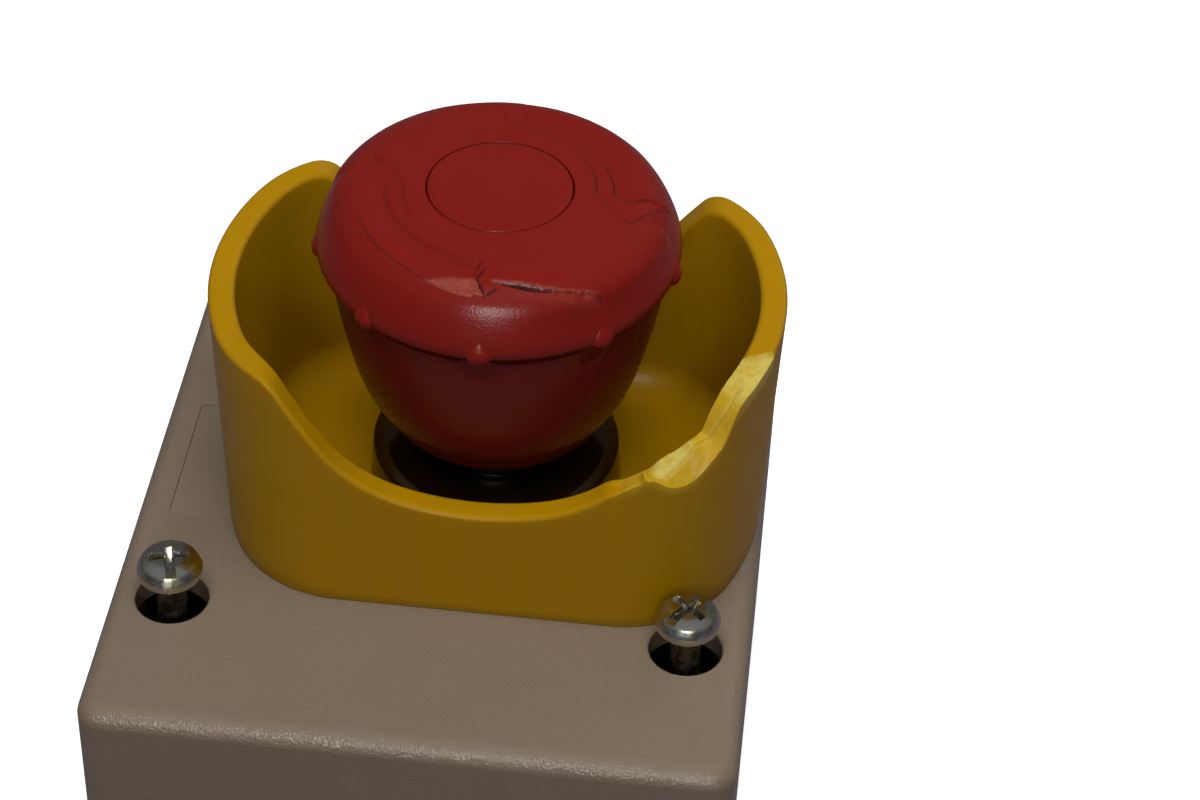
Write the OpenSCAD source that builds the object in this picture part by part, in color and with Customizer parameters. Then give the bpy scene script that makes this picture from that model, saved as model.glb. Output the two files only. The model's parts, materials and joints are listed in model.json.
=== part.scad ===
// Emergency stop station: a mushroom push button with a twist release, on a small two-part enclosure.
// The back of the enclosure lies on the z = 0 plane, its centre is the origin, and +Z points at the operator.

/* [Enclosure] */
// Width of the enclosure, along X
box_w = 72; // [70:1:90]
// Length of the enclosure, along Y
box_l = 84; // [82:1:110]
// Depth of the closed enclosure, along Z
box_h = 56; // [55:1:70]
// Depth of the lid's side walls
lid_depth = 20; // [19:0.5:21]
// Wall thickness of base and lid
wall = 3; // [2.6:0.1:3.2]
// Radius of the vertical corners
corner_r = 3; // [2.4:0.2:4]
// Radius of the lid's front edge
edge_r = 2.2; // [1:0.2:2.3]
// How far the operator sits to the right of the enclosure's centre line
operator_x = 4.6; // [0:0.2:6]

/* [Lid screws] */
// Distance between the screws, along X
screw_dx = 57.8; // [56:0.2:58]
// Distance between the screws, along Y
screw_dy = 46; // [45:0.5:50]
// Radius of the pocket round each screw head
pocket_r = 4.1; // [3.9:0.1:4.2]
// Depth of the pocket under the lid's face
pocket_depth = 5; // [4:0.5:5.5]
// How far the backed-out heads stand clear of the lid's face
screw_lift = 3.9; // [3:0.1:4]
// Radius of the screw's thread
screw_r = 2; // [1.8:0.1:2]

/* [Guard shroud] */
// Width of the shroud at its foot, along X
shroud_w = 61.8; // [58:0.2:62]
// Length of the shroud at its foot, along Y
shroud_l = 41.8; // [41:0.2:43]
// Height of the horns over the lid
shroud_h = 31; // [29:0.5:33]
// Height of the rim at the middle of the front and back walls
valley_h = 15; // [13:0.5:15.5]
// Corner radius of the shroud in plan
shroud_r = 14; // [12:0.5:16]
// How much wider the shroud is at its top than at its foot, as a share
shroud_flare = 0.035; // [0:0.005:0.04]
// Thickness of the shroud's walls
shroud_t = 2.9; // [2.4:0.1:3]
// Thickness of the shroud's floor
floor_t = 2; // [1.6:0.2:2]

/* [Mushroom head] */
// Diameter of the mushroom head
head_d = 40; // [38:0.5:41]
// Height of the head's top over the lid
head_h = 44.2; // [43.8:0.1:46]
// Radius of the plug in the middle of the head
plug_r = 8; // [7.4:0.2:8.4]
// Number of grip bumps round the head's lip
bumps = 9; // [6:1:12]
// Travel of the head when it is pressed
press_travel = 4.5; // [3:0.1:4.5]
// Turn that releases the latched head, in degrees
twist_angle = 35; // [20:1:40]

/* [Operator] */
// Radius of the threaded barrel
barrel_r = 11; // [10.8:0.1:11]
// Radius of the bezel ring
bezel_r = 14.5; // [14:0.1:15]
// Height of the bezel ring over the lid
bezel_h = 8.6; // [8.2:0.1:8.6]
// Radius of the stem under the head
stem_r = 6; // [5.6:0.1:6]
// Radial running clearance of parts that slide or turn
run = 0.05; // [0.03:0.01:0.08]

/* [Contacts and cable entry] */
// Distance between the two contact blocks, centre to centre
block_pitch = 11; // [10.6:0.1:11]
// Width of a contact block
block_w = 10; // [9.6:0.1:10.4]
// Length of a contact block
block_l = 38; // [37:0.5:39]
// Radius of the cable that the gland seals on
cable_r = 5; // [4:0.5:5.5]
// Height of the gland's axis over the back face
gland_z = 20; // [18:0.5:20]
// Distance between the wall fixing holes, along X
fixing_dx = 40; // [36:1:42]
// Distance between the wall fixing holes, along Y
fixing_dy = 66; // [62:1:66]
// Radius of the wall fixing holes
fixing_r = 2.65; // [2.2:0.05:2.75]

/* [Hidden] */
$fn = 64;
eps = 0.01;        // overshoot of a cut past the face it opens
fit_gap = 0.02;    // gap between parts that are pressed or screwed together

// Levels, measured from the back face.
lid_top = box_h;
lid_under = lid_top - wall;
seam_z = lid_top - lid_depth;
floor_top = lid_top + floor_t;
gasket_t = 1;
flange_z = floor_top + gasket_t;
bezel_top = lid_top + bezel_h;
bezel_lip_t = 0.95;
bezel_wall = 1.3;
flange_top = bezel_top - bezel_lip_t - fit_gap;
barrel_bottom = lid_under - 13;
head_top = lid_top + head_h;

// Lid screws.
insert_top = seam_z - 0.5;
insert_r = 3.2;
insert_h = 8.5;
insert_groove = 0.4;
post_r = insert_r + 2.3;
screw_tip_room = 3;
screw_hole_r = screw_r + 0.25;
boss_r = 5.8;
boss_bottom = seam_z + 0.2;
retainer_r = 3.6;
retainer_h = 1.2;
screw_head_r = 3.7;
screw_head_h = 2.5;
screw_head_edge_r = 1.5;
screw_dome = 0.25;
screw_tip = 0.6;
slot_w = 1;
slot_depth = 0.8;
cross_span = 4.6;
cross_depth = 1.3;
screw_shank = 24;
screw_rest_z = lid_top + screw_lift;

// Enclosure details.
inner_corner_r = 1;
gasket_inset = 0.8;
seal_w = 1.4;
seal_h = 1;
legend_t = 0.4;
legend_margin = 3.8;
legend_l = 19;
legend_w = 23;
fixing_boss_r = 5;
fixing_boss_h = 1.5;
operator_hole_r = barrel_r + 0.15;
key_w = 3;
key_r = barrel_r + 1.6;

// Operator mechanism.
guide_r = 8;
pusher_h = 2.5;
pusher_top = lid_top - 4;
pusher_shoulder = pusher_top - pusher_h;
nose_r = 5.6;
journal_r = 4;
journal_h = 5.8;
housing_lip = 1.2;
foot_h = 2.5;
foot_pin_r = 2.43;
foot_pin_h = 3.5;
foot_top = barrel_bottom - 0.5;
foot_bottom = foot_top - foot_h;
collar_h = 3.5;
return_coil_r = 6.85;
pin_r = 1.2;
pin_reach = 10.1;
pin_z = lid_top + 1.5;
pocket_reach = 10.3;
seal_seat_r = 9;
seal_t = 1.8;
clip_wire_r = 0.5;
clip_z = lid_top + 4.5;
clip_r = stem_r + clip_wire_r + 0.1;
clip_leg = 11;
rib_w = 2;
rib_r = 8.9;
thread_pitch = 1.5;
thread_depth = 0.5;
nut_h = 4.5;
nut_flats = 27;
nut_flange_r = 14.2;
nut_flange_t = 1.2;

// Mushroom head.
head_r = head_d / 2;
lip_z = head_top - 8.2;
cap_wall = 2.3;
cap_floor_z = head_top - 3.6;
stem_top = head_top - 6;
skirt_bottom = lid_top + 13.6;
skirt_wall = 2.1;
skirt_rim_r = head_r - 1.4;
bump_r = 1.3;
bump_h = 1.4;
bump_first = 31;
cap_edge_r = 6.5;
cap_lip_in = 0.7;
cap_bore_r = stem_r + 2.4;
cap_screw_head_r = 3;
cap_screw_head_h = 1.7;
skirt_low_r = 15.8;
skirt_low_z = lid_top + 20;
skirt_high_r = 17.6;
skirt_high_z = lid_top + 28;
skirt_floor_t = 2.4;
arrow_depth = 0.4;
arrow_inner = 10.5;
arrow_outer = 12.4;
recess_depth = 1.1;
recess_outer = 16.2;

// Contact blocks.
block_top = 32;
block_bottom = 8;
cover_t = 1.5;
block_wall = 1;
block_roof = 1.5;
tongue_z = 26;
strip_t = 1;
strip_w = 4;
bridge_t = 1;
bridge_half = 8;
tongue_start = 4.5;
riser_y = 12;
pad_z = 17;
terminal_y = 15;
terminal_r = 1.7;
terminal_head_r = 2.9;
terminal_head_z = pad_z - 6;
clamp_size = 5.4;
drive_slot = 0.9;
drive_depth = 0.8;
plunger_r = 2;
plunger_pin_r = 1.5;
plunger_collar_r = 3;
bridge_top = tongue_z - run;
plunger_gap = 0.02;
holder_w = 30;
holder_l = 40;
holder_top = lid_under - nut_h - 0.5;
lever_w = 4;
lever_t = 2.5;
lever_l = 18;
lever_pivot_r = 1.5;

// Cable gland.
gland_r = 10;
gland_flat = 24;
gland_nut_flat = 26;
gland_reach = 11;
gland_seat_r = 8;
washer_t = 1.5;
washer_r = 12.6;
hex_h = 5.5;
collet_r = 9.4;
collet_h = 14;
seal_low = washer_t + 7;
dome_r = 11.4;
dome_hex_h = 7;

// ---- Shared shapes ----

// Points on a circular arc, from angle a0 to a1, in steps + 1 points.
function arc(centre, r, a0, a1, steps = 12) =
    [for (i = [0:steps]) let (a = a0 + (a1 - a0) * i / steps) centre + r * [cos(a), sin(a)]];

// Rectangle with round corners, centred on the origin.
module round_rect(w, l, r) {
    square([w - 2 * r, l], center = true);
    square([w, l - 2 * r], center = true);
    for (x = [-1, 1], y = [-1, 1])
        translate([x * (w / 2 - r), y * (l / 2 - r)]) circle(r);
}

// Ring between two radii, from height z0 to z1.
module ring(inner, outer, z0, z1) {
    rotate_extrude() translate([inner, z0]) square([outer - inner, z1 - z0]);
}

// Disc of one radius, from height z0 to z1.
module disc(r, z0, z1) {
    translate([0, 0, z0]) cylinder(r = r, h = z1 - z0);
}

// Hexagonal prism across the given flats, from height z0 to z1, with its corners turned down to a circle.
module hexagon(flats, z0, z1) {
    intersection() {
        translate([0, 0, z0]) cylinder(d = flats / cos(30), h = z1 - z0, $fn = 6);
        disc(flats / 2 * 1.1, z0, z1);
    }
}

// Cross recess of a screw head whose face lies at height z.
module drive_cross(z) {
    for (turn = [0, 90])
        translate([0, 0, z]) rotate([0, 0, turn]) cube([4, drive_slot, 2 * drive_depth], center = true);
}

// The same thing at each lid screw.
module at_screws() {
    for (x = [-1, 1], y = [-1, 1])
        translate([x * screw_dx / 2, y * screw_dy / 2, 0]) children();
}

// The same thing on the operator's axis.
module at_operator() {
    translate([operator_x, 0, 0]) children();
}

// The same thing at one contact block; side is -1 for left and 1 for right.
module at_block(side) {
    translate([operator_x + side * block_pitch / 2, 0, 0]) children();
}

// The same thing on both ends of a contact block.
module both_ends() {
    children();
    mirror([0, 1, 0]) children();
}

// Points of a sawtooth thread outline that runs up the outside of a barrel.
function thread_points(r, z0, z1) =
    let (turns = floor((z1 - z0) / thread_pitch))
    [for (i = [0:turns - 1], half = [0, 1])
        [r - thread_depth * (1 - half), z0 + (i + half / 2) * thread_pitch]];

// Coil spring of round wire, standing on height z0 and reaching z1.
module coil(r, wire_r, z0, z1, turns) {
    steps = round(turns * 20);
    sides = 8;
    rise = z1 - z0 - 2 * wire_r;
    points = [for (i = [0:steps], j = [0:sides - 1])
        let (a = 360 * turns * i / steps, b = 360 * j / sides, reach = r + wire_r * cos(b))
        [reach * cos(a), reach * sin(a), z0 + wire_r + rise * i / steps + wire_r * sin(b)]];
    tube = [for (i = [0:steps - 1], j = [0:sides - 1])
        let (k = (j + 1) % sides)
        [i * sides + j, (i + 1) * sides + j, (i + 1) * sides + k, i * sides + k]];
    ends = [[for (j = [0:sides - 1]) j], [for (j = [sides - 1:-1:0]) steps * sides + j]];
    polyhedron(points, concat(tube, ends), convexity = 8);
}

// ---- Enclosure ----

module enclosure_base() {
    color([0.47, 0.42, 0.35]) difference() {
        union() {
            difference() {
                linear_extrude(seam_z) round_rect(box_w, box_l, corner_r);
                translate([0, 0, wall]) linear_extrude(seam_z)
                    round_rect(box_w - 2 * wall, box_l - 2 * wall, inner_corner_r);
            }
            at_screws() disc(post_r, wall - eps, insert_top);
            at_fixings() disc(fixing_boss_r, wall - eps, wall + fixing_boss_h);
        }
        at_screws() disc(insert_r + fit_gap, insert_top - insert_h, seam_z);
        at_screws() disc(screw_hole_r, insert_top - insert_h - screw_tip_room, seam_z);
        at_fixings() disc(fixing_r, -eps, wall + fixing_boss_h + eps);
        translate([0, 0, seam_z - seal_h]) linear_extrude(seal_h + eps) seal_outline(0);
        at_gland() disc(gland_r + fit_gap, -wall - eps, eps);
    }
}

// The same thing at each wall fixing hole.
module at_fixings() {
    for (x = [-1, 1], y = [-1, 1])
        translate([x * fixing_dx / 2, y * fixing_dy / 2, 0]) children();
}

// Outline of the seal between base and lid, shrunk on both sides by a gap.
module seal_outline(gap) {
    outer = gasket_inset + gap;
    inner = gasket_inset + seal_w - gap;
    difference() {
        round_rect(box_w - 2 * outer, box_l - 2 * outer, corner_r - outer);
        round_rect(box_w - 2 * inner, box_l - 2 * inner, corner_r - inner);
    }
}

// Block with upright round corners, whose top edge is rounded by edge_r.
module soft_block(w, l, z0, z1) {
    core_w = w - 2 * edge_r;
    core_l = l - 2 * edge_r;
    straight_w = w - 2 * corner_r;
    straight_l = l - 2 * corner_r;
    translate([0, 0, z0]) linear_extrude(z1 - z0 - edge_r) round_rect(w, l, corner_r);
    translate([0, 0, z0]) linear_extrude(z1 - z0) round_rect(core_w, core_l, corner_r - edge_r);
    for (x = [-1, 1])
        translate([x * core_w / 2, 0, z1 - edge_r]) rotate([90, 0, 0])
            cylinder(r = edge_r, h = straight_l, center = true);
    for (y = [-1, 1])
        translate([0, y * core_l / 2, z1 - edge_r]) rotate([0, 90, 0])
            cylinder(r = edge_r, h = straight_w, center = true);
    for (x = [-1, 1], y = [-1, 1])
        translate([x * straight_w / 2, y * straight_l / 2, z1 - edge_r])
            rotate_extrude() {
                square([corner_r - edge_r, edge_r]);
                translate([corner_r - edge_r, 0]) intersection() {
                    circle(edge_r);
                    square(edge_r);
                }
            }
}

// Round hole for the operator's barrel, with the notch that keeps it from turning.
module operator_hole(z0, z1) {
    disc(operator_hole_r, z0, z1);
    translate([-key_w / 2 - 0.1, 0, z0]) cube([key_w + 0.2, key_r + 0.15, z1 - z0]);
}

module enclosure_lid() {
    color([0.47, 0.42, 0.35]) difference() {
        union() {
            difference() {
                soft_block(box_w, box_l, seam_z, lid_top);
                translate([0, 0, seam_z - eps]) linear_extrude(lid_under - seam_z + eps)
                    round_rect(box_w - 2 * wall, box_l - 2 * wall, inner_corner_r);
            }
            at_screws() disc(boss_r, boss_bottom, lid_under + eps);
        }
        at_screws() disc(pocket_r, lid_top - pocket_depth, lid_top + eps);
        at_screws() disc(screw_hole_r, seam_z, lid_top);
        at_screws() disc(retainer_r + run, boss_bottom - eps, boss_bottom + retainer_h + run);
        legend_area(0, legend_t + eps);
        at_operator() operator_hole(lid_under - eps, lid_top);
    }
}

module lid_gasket() {
    color([0.08, 0.08, 0.08]) translate([0, 0, seam_z - seal_h]) linear_extrude(seal_h) seal_outline(run);
}

// Recess or inlay for a legend, to the left of the operator, shrunk on its four sides by a gap.
module legend_area(gap, thickness) {
    translate([legend_margin + gap - box_w / 2, gap - legend_l / 2, lid_top - legend_t])
        cube([legend_w - 2 * gap, legend_l - 2 * gap, thickness]);
}

module legend_plate() {
    color([0.50, 0.45, 0.38]) legend_area(run, legend_t);
}

// ---- Lid screws, shown backed out of their inserts as they are when the lid is being opened ----

module lid_screw() {
    difference() {
        rotate_extrude() polygon(concat(
            [[0, -screw_shank], [screw_r - screw_tip, -screw_shank], [screw_r, -screw_shank + screw_tip],
             [screw_r, 0], [screw_head_r - screw_dome, 0], [screw_head_r, screw_dome]],
            arc([screw_head_r - screw_head_edge_r, screw_head_h - screw_head_edge_r], screw_head_edge_r, 0, 80, 6),
            [[0, screw_head_h + screw_dome]]));
        translate([0, 0, screw_head_h]) cube([2 * screw_head_r + 1, slot_w, 2 * slot_depth], center = true);
        translate([0, 0, screw_head_h]) cube([slot_w, cross_span, 2 * cross_depth], center = true);
    }
}

module lid_screws() {
    color([0.70, 0.70, 0.68]) at_screws() translate([0, 0, screw_rest_z]) lid_screw();
}

module screw_inserts() {
    color([0.80, 0.62, 0.30]) at_screws() difference() {
        union() {
            disc(insert_r - insert_groove, insert_top - insert_h, insert_top);
            disc(insert_r, insert_top - insert_h * 0.45, insert_top);
            disc(insert_r, insert_top - insert_h, insert_top - insert_h * 0.6);
        }
        disc(screw_r + run, insert_top - insert_h - eps, insert_top + eps);
    }
}

module screw_retainers() {
    color([0.10, 0.10, 0.10]) at_screws()
        ring(screw_r + run, retainer_r, boss_bottom, boss_bottom + retainer_h);
}

// ---- Guard shroud ----

// Front view of the shroud's wall: low in the middle, with a horn on each side.
module shroud_front() {
    bottom_r = 28;
    flank_r = 16;
    horn_r = 4.2;
    horn_x = 24.5;
    half = shroud_w / 2 * (1 + shroud_flare) + 1;
    flat_to_flank = 15;
    flank_slope = 56;
    bottom_centre = [0, valley_h + bottom_r];
    flank_centre = bottom_centre + (bottom_r - flank_r) * [sin(flat_to_flank), -cos(flat_to_flank)];
    horn_centre = [horn_x, shroud_h - horn_r];
    right = concat(
        arc(bottom_centre, bottom_r, -90, flat_to_flank - 90, 6),
        arc(flank_centre, flank_r, flat_to_flank - 90, flank_slope - 90, 8),
        arc(horn_centre, horn_r, 90 + flank_slope, 90, 8),
        [[half, shroud_h], [half, 0]]);
    left = [for (i = [len(right) - 1:-1:1]) [-right[i].x, right[i].y]];
    polygon(concat(left, right));
}

// Plan of the shroud: a disc with flats at the front and back and round corners, shrunk by an inset.
module shroud_plan(inset) {
    corner_y = shroud_l / 2 - shroud_r;
    corner_x = sqrt(pow(shroud_w / 2 - shroud_r, 2) - pow(corner_y, 2));
    side = atan2(corner_y, corner_x);
    right = concat(
        arc([corner_x, -corner_y], shroud_r - inset, -90, -side, 8),
        arc([0, 0], shroud_w / 2 - inset, -side, side, 10),
        arc([corner_x, corner_y], shroud_r - inset, side, 90, 8));
    polygon(concat(right, -right));
}

module guard_shroud() {
    at_operator() color([0.93, 0.68, 0.03]) difference() {
        translate([0, 0, lid_top]) intersection() {
            linear_extrude(shroud_h, scale = 1 + shroud_flare) shroud_plan(0);
            translate([0, shroud_l, 0]) rotate([90, 0, 0]) linear_extrude(2 * shroud_l) shroud_front();
        }
        translate([0, 0, floor_top]) linear_extrude(shroud_h, scale = 1 + shroud_flare) shroud_plan(shroud_t);
        operator_hole(lid_top - eps, floor_top + eps);
    }
}

// ---- Operator: the fixed parts that clamp through the lid ----

module operator_gasket() {
    color([0.06, 0.06, 0.06]) at_operator() ring(barrel_r + 0.1, bezel_r - 0.3, floor_top, flange_z);
}

// Annular pockets that the ends of the cross pin slide and turn in.
module pin_pockets() {
    half_pin = asin((pin_r + 0.3) / guide_r) + 2;
    low = pin_z - pin_r - press_travel - 0.3;
    high = pin_z + pin_r + 0.3;
    for (turn = [0, 180])
        rotate([0, 0, turn - twist_angle - half_pin]) translate([0, 0, low])
            rotate_extrude(angle = twist_angle + 2 * half_pin) square([pocket_reach, high - low]);
}

module operator_housing() {
    color([0.07, 0.07, 0.07]) at_operator() difference() {
        union() {
            rotate_extrude() polygon(concat(
                [[0, barrel_bottom], [barrel_r - thread_depth, barrel_bottom]],
                thread_points(barrel_r, barrel_bottom + 0.5, lid_under - 0.5),
                [[barrel_r, lid_under - 0.5], [barrel_r, flange_z], [bezel_r - bezel_wall, flange_z],
                 [bezel_r - bezel_wall, flange_top], [0, flange_top]]));
            translate([-key_w / 2, 0, lid_under + 0.2]) cube([key_w, key_r, floor_top - lid_under - 0.4]);
        }
        disc(nose_r + 0.1, barrel_bottom - eps, flange_top);
        disc(guide_r, barrel_bottom + housing_lip, flange_top + eps);
        disc(seal_seat_r, flange_top - seal_t, flange_top + eps);
        translate([-rib_w / 2 - 0.1, 0, pusher_shoulder - press_travel - 0.5])
            cube([rib_w + 0.2, rib_r + 0.15, pusher_h + press_travel + 1]);
        pin_pockets();
        for (x = [-1, 1])
            translate([x * clip_r, -clip_leg / 2 - 0.3, clip_z])
                cube([2 * clip_wire_r + 0.3, clip_leg + 0.6, 2 * clip_wire_r + 0.3], center = true);
    }
}

module bezel_ring() {
    bezel_inner_r = bezel_r - bezel_wall + run;
    color([0.05, 0.05, 0.05]) at_operator() rotate_extrude() polygon(concat(
        [[bezel_inner_r, flange_z], [bezel_r, flange_z]],
        arc([bezel_r - 0.6, bezel_top - 0.6], 0.6, 0, 90, 5),
        [[stem_r + 0.9, bezel_top], [stem_r + 0.6, bezel_top - 0.3], [stem_r + 0.6, bezel_top - bezel_lip_t],
         [bezel_inner_r, bezel_top - bezel_lip_t]]));
}

module stem_seal() {
    color([0.09, 0.09, 0.09]) at_operator()
        ring(stem_r + run, seal_seat_r - run, flange_top - seal_t, flange_top);
}

module lock_nut() {
    color([0.62, 0.62, 0.60]) at_operator() difference() {
        union() {
            hexagon(nut_flats, lid_under - nut_h, lid_under - fit_gap);
            disc(nut_flange_r, lid_under - nut_flange_t, lid_under - fit_gap);
        }
        disc(barrel_r + run, lid_under - nut_h - 1, lid_under + 1);
    }
}

// Spring wire that hugs the stem and snaps into its groove when the head is pressed.
module latch_clip() {
    color([0.75, 0.75, 0.73]) at_operator() translate([0, 0, clip_z]) {
        rotate_extrude(angle = 180) translate([clip_r, 0]) circle(clip_wire_r, $fn = 24);
        for (x = [-1, 1])
            translate([x * clip_r, 0, 0]) rotate([90, 0, 0]) cylinder(r = clip_wire_r, h = clip_leg, $fn = 24);
    }
}

// ---- Mushroom head and the parts that turn with it ----

// Outline of the cap's outside, from its axis to the lip.
function cap_outline() = concat(
    [[0, lip_z], [0, head_top]],
    arc([head_r - cap_edge_r, head_top - cap_edge_r], cap_edge_r, 90, 0, 12),
    [[head_r - cap_lip_in, lip_z]]);

// One release arrow: a curved terrace that widens to a head and points clockwise.
module release_arrow() {
    polygon(concat(
        arc([0, 0], arrow_outer + 1, 88, 4, 14),
        [[head_r - 2, 1.2], [head_r - 2, -1.6], [head_r - 5.6, -3.2]],
        arc([0, 0], arrow_inner, 9, 88, 14)));
}

// Deeper finger recess outside the arrow.
module finger_recess() {
    polygon(concat(arc([0, 0], arrow_outer, 86, 7, 14), arc([0, 0], recess_outer, 7, 86, 14)));
}

module mushroom_cap() {
    color([0.72, 0.09, 0.07]) at_operator() difference() {
        union() {
            rotate_extrude() polygon(cap_outline());
            for (i = [0:bumps - 1])
                rotate([0, 0, bump_first + 360 * i / bumps]) translate([head_r - 1.2, 0, lip_z + 0.2])
                    cylinder(r = bump_r, h = bump_h, $fn = 24);
        }
        for (turn = [0, 180]) rotate([0, 0, turn]) {
            translate([0, 0, head_top - arrow_depth]) linear_extrude(2) release_arrow();
            translate([0, 0, head_top - recess_depth]) linear_extrude(3) finger_recess();
        }
        rotate_extrude() polygon([[cap_bore_r, lip_z - 1], [head_r - 2.6, lip_z - 1],
            [head_r - 2.6, lip_z + 2], [head_r - 5, head_top - cap_wall - 1.6],
            [head_r - 8, head_top - cap_wall - 1], [cap_bore_r + 1, head_top - cap_wall - 1.4],
            [cap_bore_r, head_top - cap_wall - 3]]);
        disc(stem_r + fit_gap, lip_z - 1, stem_top + fit_gap);
        disc(terminal_r + 0.1, stem_top - 1, head_top);
        disc(plug_r + 0.05, cap_floor_z, head_top + 1);
    }
}

module cap_plug() {
    color([0.72, 0.09, 0.07]) at_operator() difference() {
        rotate_extrude() polygon([[0, cap_floor_z + fit_gap], [plug_r - 0.1, cap_floor_z + fit_gap],
            [plug_r - 0.1, head_top - 0.3], [plug_r - 0.4, head_top], [0, head_top + 0.1]]);
        disc(plug_r - 1.6, cap_floor_z - 1, head_top - 1.5);
    }
}

module cap_screw() {
    color([0.70, 0.70, 0.68]) at_operator() difference() {
        union() {
            disc(cap_screw_head_r, cap_floor_z + fit_gap, cap_floor_z + cap_screw_head_h);
            disc(terminal_r, cap_floor_z - 9.5, cap_floor_z + 1);
        }
        drive_cross(cap_floor_z + cap_screw_head_h);
    }
}

// The lower body of the head: a cup that tapers down to the bezel.
module mushroom_skirt() {
    low = skirt_bottom;
    color([0.70, 0.09, 0.07]) at_operator() rotate_extrude() polygon(concat(
        [[stem_r + fit_gap, low], [11.2, low]],
        arc([11.8, low + 1.6], 1.7, -70, -8, 5),
        [[skirt_low_r, skirt_low_z], [skirt_high_r, skirt_high_z], [skirt_rim_r, lip_z - 0.5],
         [head_r - 2.7, lip_z - 0.5], [head_r - 2.7, lip_z + 1.4], [head_r - 4.2, lip_z + 1.4],
         [head_r - 4.2, lip_z - 1], [skirt_high_r - skirt_wall, skirt_high_z],
         [skirt_low_r - skirt_wall, skirt_low_z],
         [10.4, low + skirt_floor_t], [stem_r + fit_gap, low + skirt_floor_t]]));
}

module head_stem() {
    color([0.10, 0.10, 0.10]) at_operator() difference() {
        union() {
            disc(journal_r - run, pusher_top - journal_h, pusher_top + 1);
            disc(guide_r - run, pusher_top + run, pusher_top + collar_h);
            disc(stem_r, pusher_top + collar_h - eps, stem_top);
        }
        ring(stem_r - 0.6, stem_r + 1, clip_z + press_travel - 0.7, clip_z + press_travel + 0.7);
        disc(terminal_r + 0.03, stem_top - 7.5, stem_top + 1);
        translate([0, 0, pin_z]) rotate([0, 90, 0]) cylinder(r = pin_r + fit_gap, h = 30, center = true);
    }
}

// Pin through the stem; its ends slide and turn in the housing's pockets and stop the head.
module cross_pin() {
    color([0.75, 0.75, 0.73]) at_operator() translate([0, 0, pin_z]) rotate([0, 90, 0])
        cylinder(r = pin_r, h = 2 * pin_reach - 0.2, center = true, $fn = 32);
}

// ---- Parts that slide without turning ----

module pusher() {
    color([0.85, 0.85, 0.82]) at_operator() difference() {
        union() {
            disc(guide_r - run, pusher_shoulder, pusher_top);
            disc(nose_r, foot_top, pusher_shoulder + eps);
            translate([-rib_w / 2, guide_r - 1, pusher_shoulder]) cube([rib_w, rib_r - guide_r + 1, pusher_h]);
        }
        disc(journal_r, pusher_top - journal_h - 0.1, pusher_top + 1);
        disc(foot_pin_r + fit_gap, foot_top - 1, foot_top + foot_pin_h + 0.1);
    }
}

module pusher_foot() {
    color([0.85, 0.85, 0.82]) at_operator() {
        disc(guide_r, foot_bottom, foot_top);
        disc(foot_pin_r, foot_top - eps, foot_top + foot_pin_h);
    }
}

module return_spring() {
    color([0.75, 0.75, 0.73]) at_operator()
        coil(return_coil_r, 0.5, barrel_bottom + housing_lip, pusher_shoulder, 3.5);
}

// ---- Contact holder and blocks ----

module contact_holder() {
    pivot_x = operator_x + lever_l / 2;
    pivot_y = -holder_l / 2 + lever_w / 2 + 0.4;
    color([0.12, 0.12, 0.13]) {
        at_operator() difference() {
            translate([0, 0, block_top + run]) linear_extrude(holder_top - block_top - run)
                round_rect(holder_w, holder_l, 2);
            disc(barrel_r + 0.1, block_top - 1, holder_top + 1);
            translate([0, 0, block_top + 4]) cube([holder_w + 2, 8, 4], center = true);
        }
        translate([pivot_x, pivot_y, 0]) disc(lever_pivot_r, holder_top - 1, holder_top + lever_t + 1);
        at_operator() both_ends()
            translate([-7, block_l / 2 + 0.1, block_top - 6]) cube([14, 0.8, 7]);
    }
}

// Lever that locks the holder on the barrel; it swings out to let go.
module holder_lever() {
    pivot_x = operator_x + lever_l / 2;
    pivot_y = -holder_l / 2 + lever_w / 2 + 0.4;
    z0 = holder_top + 0.1;
    color([0.20, 0.35, 0.55]) difference() {
        translate([pivot_x, pivot_y, 0]) {
            disc(lever_w / 2, z0, z0 + lever_t);
            translate([-lever_l, -lever_w / 2, z0]) cube([lever_l, lever_w, lever_t]);
            translate([-lever_l, 0, 0]) disc(lever_w / 2, z0, z0 + lever_t);
        }
        translate([pivot_x, pivot_y, 0]) disc(lever_pivot_r + run, z0 - 1, z0 + lever_t + 1);
    }
}

module block_body(side) {
    cavity_w = block_w - 2 * block_wall;
    floor_z = block_bottom + cover_t;
    color([0.14, 0.14, 0.15]) at_block(side) difference() {
        translate([-block_w / 2, -block_l / 2, floor_z]) cube([block_w, block_l, block_top - floor_z]);
        difference() {
            translate([-cavity_w / 2, -block_l / 2 + block_wall, floor_z - 1])
                cube([cavity_w, block_l - 2 * block_wall, block_top - block_roof - floor_z + 1]);
            both_ends() translate([-block_w / 2, riser_y - 1.8, floor_z]) cube([block_w, 1, block_top - floor_z]);
        }
        both_ends() translate([-strip_w / 2 - 0.2, riser_y - 2.5, tongue_z - 0.2])
            cube([strip_w + 0.4, 3, strip_t + 0.4]);
        disc(plunger_r + run, block_top - 3, block_top + 1);
    }
}

module block_cover(side) {
    color([0.75, 0.72, 0.64]) at_block(side) difference() {
        union() {
            translate([-block_w / 2, -block_l / 2, block_bottom]) cube([block_w, block_l, cover_t - fit_gap]);
            disc(1.6, block_bottom, block_bottom + cover_t + 2);
        }
        both_ends() translate([0, terminal_y, 0]) disc(3.2, block_bottom - 1, block_bottom + cover_t + 1);
    }
}

module contact_plunger(side) {
    color([0.80, 0.12, 0.10]) at_block(side) {
        disc(plunger_r, bridge_top + fit_gap, foot_bottom - plunger_gap);
        disc(plunger_collar_r, block_top - block_roof - 2.5, block_top - block_roof - 0.1);
        disc(plunger_pin_r, bridge_top - 6, bridge_top + 1);
    }
}

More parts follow.
